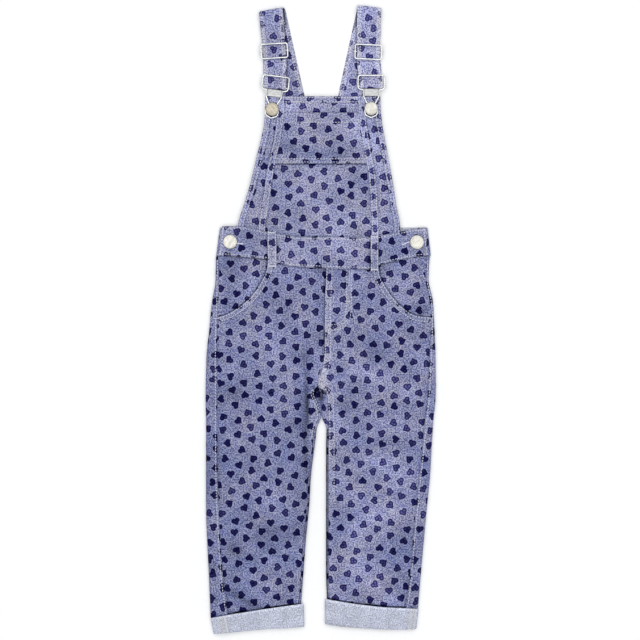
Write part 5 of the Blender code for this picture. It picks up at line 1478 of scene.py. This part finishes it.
BIB_STRIPS = (         # name, line, reach on both sides, top, offset, wear, tone, rows of stitches
    ("bib_strip_left", "left_seam", -HALF_STRIP, HALF_STRIP, BIB_TOP - TOP_HEM, (3.0, 6.0), 0.18,
     1.1, (-2.9, 2.9)),
    ("bib_strip_right", "right_seam", -HALF_STRIP, HALF_STRIP, BIB_TOP - TOP_HEM, (8.0, 2.0), 0.18,
     1.1, (-2.9, 2.9)),
    ("armhole_hem_left", "left_edge", 0.0, HEM_WIDTH, BIB_TOP, (1.0, 9.0), 0.06, 1.14, (1.6, 5.8)),
    ("armhole_hem_right", "right_edge", -HEM_WIDTH, 0.0, BIB_TOP, (6.0, 4.0), 0.06, 1.12,
     (-1.6, -5.8)),
)


def across_bib(left, right, y, inset, share):
    """x at a share of the way between two lines of the bib, less an inset on both sides."""
    x0, x1 = bib_x(left, y) + inset, bib_x(right, y) - inset
    return x0 + (x1 - x0) * share


def bib_panel(name, left, right, offset, tone, step):
    across = stations(abs(float(bib_x(right, 180.0) - bib_x(left, 180.0))), step)
    y = (BIB_TOP - stations(BIB_TOP - BIB_FOOT, step) * (BIB_TOP - BIB_FOOT))[:, None]
    x = across_bib(left, right, y, 0.0, across)
    fade = np.clip((BIB_BEND - y) / (BIB_BEND - BIB_FOOT), 0.0, 1.0)
    y = y + fade * (waist_high(x) - 1.0 - BIB_FOOT)
    # Painted shadows beside the strips, the armhole hems, the waistband and the bib pocket's edges.
    edges = [(x - bib_x(line, y) - inset, 0.25) for line, inset in (
        ("left_seam", HALF_STRIP), ("left_seam", -HALF_STRIP), ("right_seam", HALF_STRIP),
        ("right_seam", -HALF_STRIP), ("left_edge", HEM_WIDTH), ("right_edge", -HEM_WIDTH))]
    edges.append((y - waist_high(x) - 0.7, 0.3))
    if name == "bib_centre":
        edges += [(BIB_POCKET_FOOT - 0.5 - y, 0.65), (y - BIB_POCKET_TOP - 0.5, 0.25)]
        tone = tone + 0.32 * ease(236.0, 246.0, y)
    dark = np.maximum.reduce([under_edge(away, x, y, amount) for away, amount in edges])
    flat_piece(name, x, y, cloth_z(x, y), offset=offset, tone=tone * (1.0 - dark), wear=0.16,
               edge_tone=-0.05, rests_on=["back_bib"])


def bib_strip(name, line, before, after, y_high, offset, wear, tone, rows):
    """Strip along a named line of the bib with its rows of stitches."""
    width = after - before
    across = stations(width, 1.5)
    steps = before + width * across
    foot = waist_high(bib_x(line, STRIP_FOOT) + steps) + 0.3
    y = foot + stations(y_high - STRIP_END, NARROW)[:, None] * (y_high - foot)
    x = bib_x(line, y) + steps
    z = (cloth_z(x, y) + STRIP_LIFT + 0.12 * np.sin(math.pi * across)
         + 0.12 * puckers(y, x, y, *STRIP_PUCKERS))
    flat_piece(name, x, y, z, thickness=STRIP_CLOTH, offset=offset, wear=wear, tone=tone,
               edge_wear=0.2, edge_tone=0.0)
    for inset in rows:
        y = np.linspace(waist_high(bib_x(line, STRIP_FOOT) + inset) + 1.0, y_high - 0.8, 80)
        sew_on_cloth(bib_x(line, y) + inset, y, "stitches_bib", ON_STRIP)


def make_top_hem():
    y = (BIB_TOP - TOP_HEM * stations(TOP_HEM, 1.4))[:, None]
    across = stations(TOP_HEM_WIDTH, NARROW)
    x = across_bib("left_edge", "right_edge", y, HEM_WIDTH, across)
    y = y + 0.0 * x
    z = cloth_z(x, y) + STRIP_LIFT + 0.1 * puckers(x, x, y, *TOP_HEM_PUCKERS)
    flat_piece("bib_top_hem", x, y, z, thickness=STRIP_CLOTH, offset=(9.0, 1.0), wear=0.15,
               tone=1.14)
    for inset in TOP_HEM_ROWS:
        x = across_bib("left_edge", "right_edge", BIB_TOP, HEM_WIDTH + 0.5,
                       np.linspace(0.0, 1.0, 80))
        sew_on_cloth(x, BIB_TOP - inset, "stitches_bib", ON_STRIP)


def make_bib_pocket(step):
    height = BIB_POCKET_TOP - BIB_POCKET_FOOT
    y = (BIB_POCKET_TOP - height * stations(height, step))[:, None]
    across = stations(POCKET_WIDTH, step)
    x = across_bib("left_seam", "right_seam", y, HALF_STRIP + 0.1, across)
    y = y + 0.0 * x
    from_top = BIB_POCKET_TOP - y
    lift = 0.55 + 0.45 * (1.0 - ease(8.0, 12.0, from_top)) - 0.2 * bell(from_top - POCKET_HEM, 1.2)
    z = cloth_z(x, y) + lift + 0.12 * soft_noise(x, y, 16.0, 54)
    # Painted shade: the pocket darkens towards its foot.
    flat_piece("bib_pocket", x, y, z, thickness=0.9, offset=(-7.0, 21.0), wear=0.16,
               tone=1.1 - 0.17 * ease(12.0, 60.0, from_top), rests_on=["bib_centre"])
    for inset in (POCKET_HEM, height - 1.8, height - 5.6):
        y = BIB_POCKET_TOP - inset
        x = across_bib("left_seam", "right_seam", y, HALF_STRIP + 0.8, np.linspace(0.0, 1.0, 70))
        sew_on_cloth(x, y, "stitches_bib", 0.78)


def make_back_bib():
    t = stations(BACK_BIB_SIZE[1], COARSE)[:, None]
    x = mix(*BACK_BIB_HALF, t) * (2.0 * stations(BACK_BIB_SIZE[0], COARSE) - 1.0)
    foot = BACK_WAIST[1] + 0.1
    y = foot + t * (BACK_BIB_TOP - foot) + 0.0 * x
    flat_piece("back_bib", x, y, np.full_like(x, CLOTH), offset=(1.0, 12.0), tone=0.9,
               rests_on=["floor"])


# ---------------------------------------------------------------- straps
HALF_STRAP = STRAP_WIDTH / 2.0
STRAP_LOOKS = {        # offset of the print, tone
    "left": ((3.0, 6.0), 1.19),
    "right": ((11.0, 2.0), 1.42),
}


def strap_rows(spec):
    """Key rows across the strap from its sewn end to its inner end.

    Each row is its middle in plan, its height, its direction across and its half length.
    """
    fold = np.array(spec["fold"])
    down_front = turn((0.0, -1.0), spec["front_lean"])
    up_back = turn((0.0, 1.0), spec["back_lean"])
    up = unit(up_back - down_front)
    fold_line, back_across = right_of(up), right_of(up_back)
    front_across = -right_of(down_front)
    slider, button = np.array(spec["slider"][:2]), np.array(spec["buckle"][:2])
    slider_across, bar_across = (turn((1.0, 0.0), spec[key][2]) for key in ("slider", "buckle"))
    buckle_up = turn((0.0, 1.0), spec["buckle"][2])
    rows = []

    def add(middle, z, across, own_across, squeeze=0.0):
        across = unit(across)
        half = HALF_STRAP / abs(float(np.dot(across, own_across)))
        half *= 1.0 - squeeze * (1.0 - STRAP_SQUEEZE)
        rows.append((*middle, z, *across, half))

    rest = STRAP_CLOTH / 2.0
    sewn = CLOTH + 0.1 + rest
    length = (fold[1] - STRAP_END_Y) / up_back[1]
    for e in (length, *(length + step for step in BACK_STATIONS), *BACK_ROWS):
        middle = fold - e * up_back + (spec["drift"] * (1.0 - e / length), 0.0)
        z = rest + (sewn - rest) * float(ease(*STRAP_DROP, middle[1]))
        add(middle, z, mix(back_across, fold_line, float(ease(BACK_ROWS[-3], 0.0, e))), back_across)
    for angle in np.radians(np.linspace(0.0, 180.0, 9))[1:-1]:
        middle = fold + STRAP_LOOP * math.sin(angle) * up
        middle = middle + (spec["drift"] * (1.0 - angle / math.pi), 0.0)
        add(middle, rest + STRAP_LOOP * (1.0 - math.cos(angle)), fold_line, back_across)

    bar = button + BUCKLE_BAR_V * buckle_up
    wire_top = button + BUCKLE_TOP_V * buckle_up
    to_slider = float(np.dot(slider - fold, down_front))
    slider_mid = fold + to_slider * down_front
    for share in SLIDER_ROWS:
        f = share * to_slider
        near = float(ease(0.6, 0.8, share))
        across = mix(fold_line, front_across, float(ease(0.0, 0.33, share)))
        z = float(table_value(FRONT_PLY, f - to_slider))
        add(fold + f * down_front, z, mix(across, slider_across, near), front_across, near)
    start = fold + SLIDER_ROWS[-1] * to_slider * down_front
    climb = (1.6, BUCKLE_TOP_V - BUCKLE_BAR_V - 1.0)
    high = CENTRE_BAR_Z + BAR_LOOP
    for t in BAR_ROWS:
        middle = start + t * (bar - start)
        past = float(np.dot(middle - wire_top, -buckle_up))
        z = UNDER_WIRE + (high - UNDER_WIRE) * float(ease(*climb, past))
        add(middle, z, mix(slider_across, bar_across, float(ease(0.0, 0.7, t))), bar_across, 1.0)
    for angle in np.radians(np.linspace(0.0, 180.0, 8))[1:]:
        middle = bar - BAR_LOOP * math.sin(angle) * buckle_up
        add(middle, CENTRE_BAR_Z + BAR_LOOP * math.cos(angle), bar_across, bar_across, 1.0)

    drop = CENTRE_BAR_Z - BAR_LOOP - RETURN_PLY
    for t in RETURN_ROWS:
        middle = bar + t * (slider_mid - bar)
        left = float(np.hypot(*(slider_mid - middle)))
        lift = drop * max(float(ease(5.0, 1.5, left)), 1.0 - float(ease(0.0, 0.25, t)))
        add(middle, RETURN_PLY + lift, mix(bar_across, slider_across, float(ease(0.2, 0.9, t))),
            bar_across, 1.0)
    return np.array(rows)


def make_strap(word, step):
    """Strap from the back bib over its fold, through the slider, round the bar and back."""
    rows = strap_rows(STRAPS[word])
    reach = run_length(rows[:, :3])
    s = stations(reach[-1], step) * reach[-1]
    rows = np.stack([smooth_curve(reach, column, s) for column in rows.T], axis=1)
    middle = rows[:, :3]
    across = unit(np.c_[rows[:, 3:5], np.zeros(len(rows))])
    normal = unit(np.cross(across, unit(np.gradient(middle, axis=0))))
    share = 2.0 * stations(STRAP_WIDTH, 1.6) - 1.0
    sheet = middle[:, None] + (rows[:, 5:] * share)[:, :, None] * across[:, None]
    edge, run = np.broadcast_arrays(np.abs(share) * HALF_STRAP, s[:, None])
    near = HALF_STRAP - edge
    pucker = 0.10 * bell(edge - 11.0, 3.0) * puckers(run, run, edge, *STRAP_PUCKERS)
    bulge = (STRAP_CLOTH / 2.0 + 0.12 * np.cos(share * math.pi / 2.0) + 0.08
             - 0.14 * bell(edge - STRAP_ROW, 0.9) + pucker - 0.15
             - 0.5 * np.clip(1.0 - near / ROUNDED, 0.0, 1.0) ** 2)
    top, low = (sheet + way * normal[:, None] * bulge[:, :, None] for way in (1.0, -1.0))
    low[:, :, 2] = np.maximum(low[:, :, 2], 0.0)
    offset, tone = STRAP_LOOKS[word]
    uv = np.dstack([share * HALF_STRAP + 0.0 * run, run]) + np.array(offset)
    turn_at = int(np.argmax(middle[:, 1]))
    # Painted shade along the strap's edges, with random tone.
    tone = tone - 0.14 * np.exp(-near / 0.8) + 0.1 * soft_noise(run, near, 24.0, 62)
    rim = sheet[turn_at + 1:, [0, -1], :2].reshape(-1, 2)
    # Painted shadow of the front ply's edges on the back ply.
    for k in range(turn_at):
        away = np.linalg.norm(sheet[k, :, None, :2] - rim[None], axis=2).min(axis=1)
        close = float(ease(338.0, 350.0, middle[k, 1]))
        tone[k] -= (0.5 + 0.75 * close) * bell(away, 2.0 + close)
    # Painted shadows just below the slider's rails and the buckle's top wire.
    for fitting, rails in (("slider", (-SLIDER_HALF[1], SLIDER_HALF[1])),
                           ("buckle", (BUCKLE_TOP_V,))):
        x, y, degrees = STRAPS[word][fitting]
        above = turn((sheet[:, :, 0] - x, sheet[:, :, 1] - y), -degrees)[1]
        for rail in rails:
            tone[turn_at:] -= 0.5 * bell(above - rail + 1.7, 0.8)[turn_at:]
    piece = cloth_mesh("strap_" + word + "_cloth", top, low, uv, np.maximum(tone, LEAST_TONE),
                       0.7 * (1.0 - ease(3.4, 5.4, near)), "printed_chambray")
    hand_over(piece, "printed_chambray", "strap_" + word)
    for inset in (-STRAP_ROW, STRAP_ROW):
        line = middle + (inset * rows[:, 5:] / HALF_STRAP) * across
        lift = normal * (STRAP_CLOTH / 2.0 + 0.10)
        sew((line + lift)[3:turn_at - 3], "stitches_straps")
        sew((line - lift)[turn_at + 4:-3], "stitches_straps")


# ---------------------------------------------------------------- metal
BAR_PROFILE = (        # in from the bar's end, radius as a share of the wire's
    (-0.05, 0.02), (0.0, 0.9), (0.5, 1.25), (1.6, 1.25), (1.9, 0.95),
)
PLATE_PROFILE = (      # share of the half width, fall below the plate's middle
    (0.0, 0.0), (0.5, 0.0), (0.8, 0.05), (0.9, 0.2), (0.97, 0.6), (1.0, 1.1),
)
PLATE_LIFT = 1.75
PLATE_THICKNESS = 0.7
WIRE_SIDES = 16
BUTTON_SIDES = 64


def rounded_loop(corners, steps=8):
    """Closed line through corner points with rounded corners: (x, y, radius) each."""
    line = []
    for i, (x, y, radius) in enumerate(corners):
        here = np.array([x, y])
        before = np.array(corners[i - 1][:2]) - here
        after = np.array(corners[(i + 1) % len(corners)][:2]) - here
        room = 0.48 * min(np.hypot(*before), np.hypot(*after))
        before, after = unit(before), unit(after)
        bend = math.acos(max(-1.0, min(1.0, float(np.dot(before, after)))))
        reach = min(radius / math.tan(bend / 2.0), room)
        for t in np.linspace(0.0, 1.0, steps + 1):
            line.append((1 - t) ** 2 * (here + reach * before) + 2 * t * (1 - t) * here
                        + t * t * (here + reach * after))
    return np.array(line)


def place(line, spot, heights):
    """Turn a flat line as a fitting lies, move it there and give it heights."""
    x, y, degrees = spot
    u, v = turn(np.transpose(line), degrees)
    return np.c_[u + x, v + y, np.broadcast_to(heights, u.shape)]


def wire_fitting(name, spot, line, heights, bar_v, bar_half, radius):
    """Closed wire with a crossbar, whose small riveted ends stand past the wire."""
    ends, swell = np.array(BAR_PROFILE).T
    u = np.r_[ends - bar_half, 0.0, (bar_half - ends)[::-1]]
    bar = place(np.c_[u, np.full(len(u), bar_v)], spot, CENTRE_BAR_Z)
    swell = np.r_[swell, swell[-1], swell[::-1]]
    solid_piece(name + "_wire", [tube_mesh(place(line, spot, heights), radius, WIRE_SIDES, True),
                                 tube_mesh(bar, radius * swell, 14)],
                "silver_wire", "silver_wire", name)


def make_slider(word, radius):
    line = rounded_loop([(a * SLIDER_HALF[0], b * SLIDER_HALF[1], SLIDER_CORNER)
                         for a, b in ((1, 1), (-1, 1), (-1, -1), (1, -1))])
    wire_fitting("slider_" + word, STRAPS[word]["slider"], line, SLIDER_Z, 0.0, SLIDER_BAR, radius)


def make_buckle(word, radius):
    left = tuple((-u, v, corner) for u, v, corner in reversed(BUCKLE_LINE))
    line = rounded_loop(BUCKLE_LINE + (BUCKLE_FOOT,) + left)
    wire_fitting("buckle_" + word, STRAPS[word]["buckle"], line,
                 table_value(BUCKLE_RISE, line[:, 1]), BUCKLE_BAR_V, BUCKLE_BAR, radius)


def make_plate(word):
    """Plate across the buckle's neck with its sides rolled round the wires."""
    right, fall = np.array(PLATE_PROFILE).T
    u = PLATE_HALF * np.r_[-right[:0:-1], right]
    fall = np.r_[fall[:0:-1], fall]
    grid = []
    for t in stations(PLATE_SPAN[1] - PLATE_SPAN[0], 1.2, 0.35):
        v = mix(*PLATE_SPAN, t)
        end = min(t, 1.0 - t) * (PLATE_SPAN[1] - PLATE_SPAN[0])
        base = float(table_value(BUCKLE_RISE, v)) + PLATE_LIFT
        base -= 0.3 * max(0.0, 1.0 - end / 0.7) ** 2
        grid.append(place(np.c_[u, np.full(len(u), v)], STRAPS[word]["buckle"], base - fall))
    top = np.array(grid)
    zero = np.zeros(top.shape[:2])
    piece = cloth_mesh("buckle_plate_" + word + "_metal", top, top - (0.0, 0.0, PLATE_THICKNESS),
                       unrolled(top), zero, zero, "silver_plate")
    hand_over(piece, "silver_wire", "buckle_plate_" + word)


def make_button(name):
    """Shank button: a post and a crowned head with a soft rim."""
    x, y, radius, finish = BUTTONS[name]
    on_bib = name.startswith("bib")
    foot = float(cloth_z(x, y)) + (0.6 if on_bib else WAIST_STEP)
    clear = BUCKLE_RISE[0][1] + 1.3 if on_bib else foot + HIP_BUTTON_CLEAR
    profile = [(BUTTON_POST, foot), (BUTTON_POST, clear)]
    profile += [(radius - inset, clear + rise) for inset, rise in BUTTON_HEAD]
    angle = 2.0 * math.pi * np.arange(BUTTON_SIDES) / BUTTON_SIDES
    points = [(x, y, foot)]
    for r, z in profile:
        points.extend(np.c_[x + r * np.cos(angle), y + r * np.sin(angle), np.full(len(angle), z)])
    points.append((x, y, clear + BUTTON_FACE))
    faces = []
    last = len(points) - 1
    for k in range(BUTTON_SIDES):
        a, b = k + 1, (k + 1) % BUTTON_SIDES + 1
        faces.append((0, b, a))
        for start in range(0, (len(profile) - 1) * BUTTON_SIDES, BUTTON_SIDES):
            faces.append((start + a, start + b, start + BUTTON_SIDES + b, start + BUTTON_SIDES + a))
        faces.append((last - 1 - BUTTON_SIDES + a, last - 1 - BUTTON_SIDES + b, last))
    solid_piece(name + "_metal", [(np.array(points), faces)], finish, finish, name, degrees=50.0)


# ---------------------------------------------------------------- operators
STRAP_STEP = 1.5
THREAD_HALF = 0.42     # radius of a tack's thread, as a share of the thread's width
FLOOR_HALF = 4.0
IN_VIEW_Z = 0.005      # height at which the view is as wide as its setting says
METALS = (             # finish, its colour's setting, brightness, roughness, scratches, lean
    ("silver_wire", "nickel", 1.0, 0.2, (60.0, 60.0, 60.0), 0.0),
    ("silver_plate", "nickel", 0.62, 0.34, (120.0, 900.0, 400.0), 0.0),
    ("champagne_buttons", "champagne", 1.0, 0.34, (520.0, 90.0, 300.0), -0.7),
    ("silver_buttons", "silver", 1.0, 0.34, (440.0, 80.0, 300.0), 0.5),
)
LIGHTS = (             # name, place, size, its power's setting
    ("overhead", (0.2, 0.5, 3.4), 6.0, "overhead_power"),
    ("key", (-1.25, 1.75, 1.35), 0.7, "key_power"),
)


class DUNGAREES_OT_materials(bpy.types.Operator):
    """Make the finishes of cloth, thread and metal"""
    bl_idname = "dungarees.materials"
    bl_label = "Materials"

    def execute(self, context):
        make_chambray(context.scene.dungarees_cloth)
        make_wrong_side(context.scene.dungarees_cloth)
        make_thread(context.scene.dungarees_sewing)
        for name, setting, bright, *finish in METALS:
            colour = getattr(context.scene.dungarees_metal, setting)
            make_metal(name, tuple(bright * c for c in colour), *finish)
        make_floor()
        return {"FINISHED"}


class DUNGAREES_OT_legs(bpy.types.Operator):
    """Make both legs, their pockets and their seams"""
    bl_idname = "dungarees.legs"
    bl_label = "Legs and Pockets"

    def execute(self, context):
        step = context.scene.dungarees_cloth.grid / MM
        for word in SIDE:
            make_leg_back(word, step)
            make_leg_front(word, step)
            make_hip_piece(word, step)
            make_pocket_binding(word)
        leg_sewing()
        return {"FINISHED"}


class DUNGAREES_OT_cuffs(bpy.types.Operator):
    """Make the turned-up cuffs"""
    bl_idname = "dungarees.cuffs"
    bl_label = "Cuffs"

    def execute(self, context):
        for word in SIDE:
            make_cuff(word, context.scene.dungarees_cloth.grid / MM)
        return {"FINISHED"}


class DUNGAREES_OT_waist(bpy.types.Operator):
    """Make the waistband and its belt loops"""
    bl_idname = "dungarees.waist"
    bl_label = "Waistband"

    def execute(self, context):
        make_waistband_front(context.scene.dungarees_cloth.grid / MM)
        make_waistband_back()
        for word in SIDE:
            make_belt_loop(word)
        return {"FINISHED"}


class DUNGAREES_OT_bib(bpy.types.Operator):
    """Make the bib, its pocket and the back bib"""
    bl_idname = "dungarees.bib"
    bl_label = "Bib"

    def execute(self, context):
        step = context.scene.dungarees_cloth.grid / MM
        for panel in BIB_PANELS:
            bib_panel(*panel, step)
        for strip in BIB_STRIPS:
            bib_strip(*strip)
        make_top_hem()
        make_bib_pocket(step)
        make_back_bib()
        return {"FINISHED"}


class DUNGAREES_OT_straps(bpy.types.Operator):
    """Make the shoulder straps"""
    bl_idname = "dungarees.straps"
    bl_label = "Straps"

    def execute(self, context):
        for word in SIDE:
            make_strap(word, STRAP_STEP)
        return {"FINISHED"}


class DUNGAREES_OT_metal(bpy.types.Operator):
    """Make the sliders, buckles and buttons"""
    bl_idname = "dungarees.metal"
    bl_label = "Metal"

    def execute(self, context):
        radius = context.scene.dungarees_metal.wire_radius / MM
        for word in SIDE:
            make_slider(word, radius)
            make_buckle(word, radius)
            make_plate(word)
        for name in BUTTONS:
            make_button(name)
        return {"FINISHED"}


class DUNGAREES_OT_sewing(bpy.types.Operator):
    """Lay every stitch of the topstitching and the threads of the bar tacks"""
    bl_idname = "dungarees.sewing"
    bl_label = "Sewing"

    def execute(self, context):
        sewing = context.scene.dungarees_sewing
        tree, sizes = stitch_tree()
        for group in sorted(SEWING_LINES):
            stitch_object(group, SEWING_LINES[group], tree, sizes, sewing)
        radius = THREAD_HALF * sewing.thread_width / MM
        threads = [tube_mesh(resampled(ends, 0.8), radius, 5) for ends in TACKS]
        solid_piece("bartacks", threads, "topstitch_thread", "printed_chambray")
        return {"FINISHED"}


class DUNGAREES_OT_stage(bpy.types.Operator):
    """Lay the floor, set the lights and aim the camera straight down"""
    bl_idname = "dungarees.stage"
    bl_label = "Stage"

    def execute(self, context):
        stage = context.scene.dungarees_stage
        mesh = bpy.data.meshes.new("floor")
        corners = ((-1, -1), (1, -1), (1, 1), (-1, 1))
        mesh.from_pydata([(FLOOR_HALF * x, FLOOR_HALF * y, 0.0) for x, y in corners], [],
                         [(0, 1, 2, 3)])
        new_object("floor", mesh, "studio_floor")
        world = bpy.data.worlds.new("surround")
        world.use_nodes = True
        background = world.node_tree.nodes["Background"]
        background.inputs["Color"].default_value = (0.96, 0.98, 1.0, 1.0)
        background.inputs["Strength"].default_value = stage.sky
        context.scene.world = world
        for name, spot, size, power in LIGHTS:
            add_light(name, spot, size, getattr(stage, power))
        camera = bpy.data.cameras.new("camera")
        camera.sensor_width = 36.0
        camera.lens = camera.sensor_width * (stage.camera_height - IN_VIEW_Z) / stage.view_width
        camera.clip_end = 50.0
        eye = new_object("camera", camera)
        eye.location = (stage.view_x, stage.view_y, stage.camera_height)
        context.scene.camera = eye
        context.scene.view_settings.view_transform = "Standard"
        return {"FINISHED"}


def add_light(name, spot, size, power):
    """Square soft light aimed at the middle of the garment."""
    light = bpy.data.lights.new(name, "AREA")
    light.size = size
    light.energy = power
    lamp = new_object(name, light)
    lamp.location = spot
    aim = -unit(np.array(spot))
    lamp.rotation_euler = (math.acos(-aim[2]), 0.0, math.atan2(aim[0], -aim[1]))


class DUNGAREES_PT_panel(bpy.types.Panel):
    bl_label = "Dungarees"
    bl_idname = "DUNGAREES_PT_panel"
    bl_space_type = "VIEW_3D"
    bl_region_type = "UI"
    bl_category = "Dungarees"

    def draw(self, context):
        for key, _ in SETTINGS:
            group = getattr(context.scene, key)
            box = self.layout.box()
            for value in group.__annotations__:
                box.prop(group, value)
        for operator in OPERATORS:
            self.layout.operator(operator.bl_idname)


OPERATORS = (DUNGAREES_OT_materials, DUNGAREES_OT_legs, DUNGAREES_OT_cuffs, DUNGAREES_OT_waist,
             DUNGAREES_OT_bib, DUNGAREES_OT_straps, DUNGAREES_OT_metal, DUNGAREES_OT_sewing,
             DUNGAREES_OT_stage)
SETTINGS = (("dungarees_cloth", ClothSettings), ("dungarees_sewing", SewingSettings),
            ("dungarees_metal", MetalSettings), ("dungarees_stage", StageSettings))
CLASSES = (*(group for _, group in SETTINGS), *OPERATORS, DUNGAREES_PT_panel)


def register():
    for each in CLASSES:
        bpy.utils.register_class(each)
    for key, group in SETTINGS:
        setattr(bpy.types.Scene, key, PointerProperty(type=group))


def unregister():
    for key, _ in SETTINGS:
        delattr(bpy.types.Scene, key)
    for each in reversed(CLASSES):
        bpy.utils.unregister_class(each)


def main():
    register()
    bpy.ops.dungarees.materials()
    bpy.ops.dungarees.legs()
    bpy.ops.dungarees.cuffs()
    bpy.ops.dungarees.waist()
    bpy.ops.dungarees.bib()
    bpy.ops.dungarees.straps()
    bpy.ops.dungarees.metal()
    bpy.ops.dungarees.sewing()
    bpy.ops.dungarees.stage()


if __name__ == "__main__":
    main()
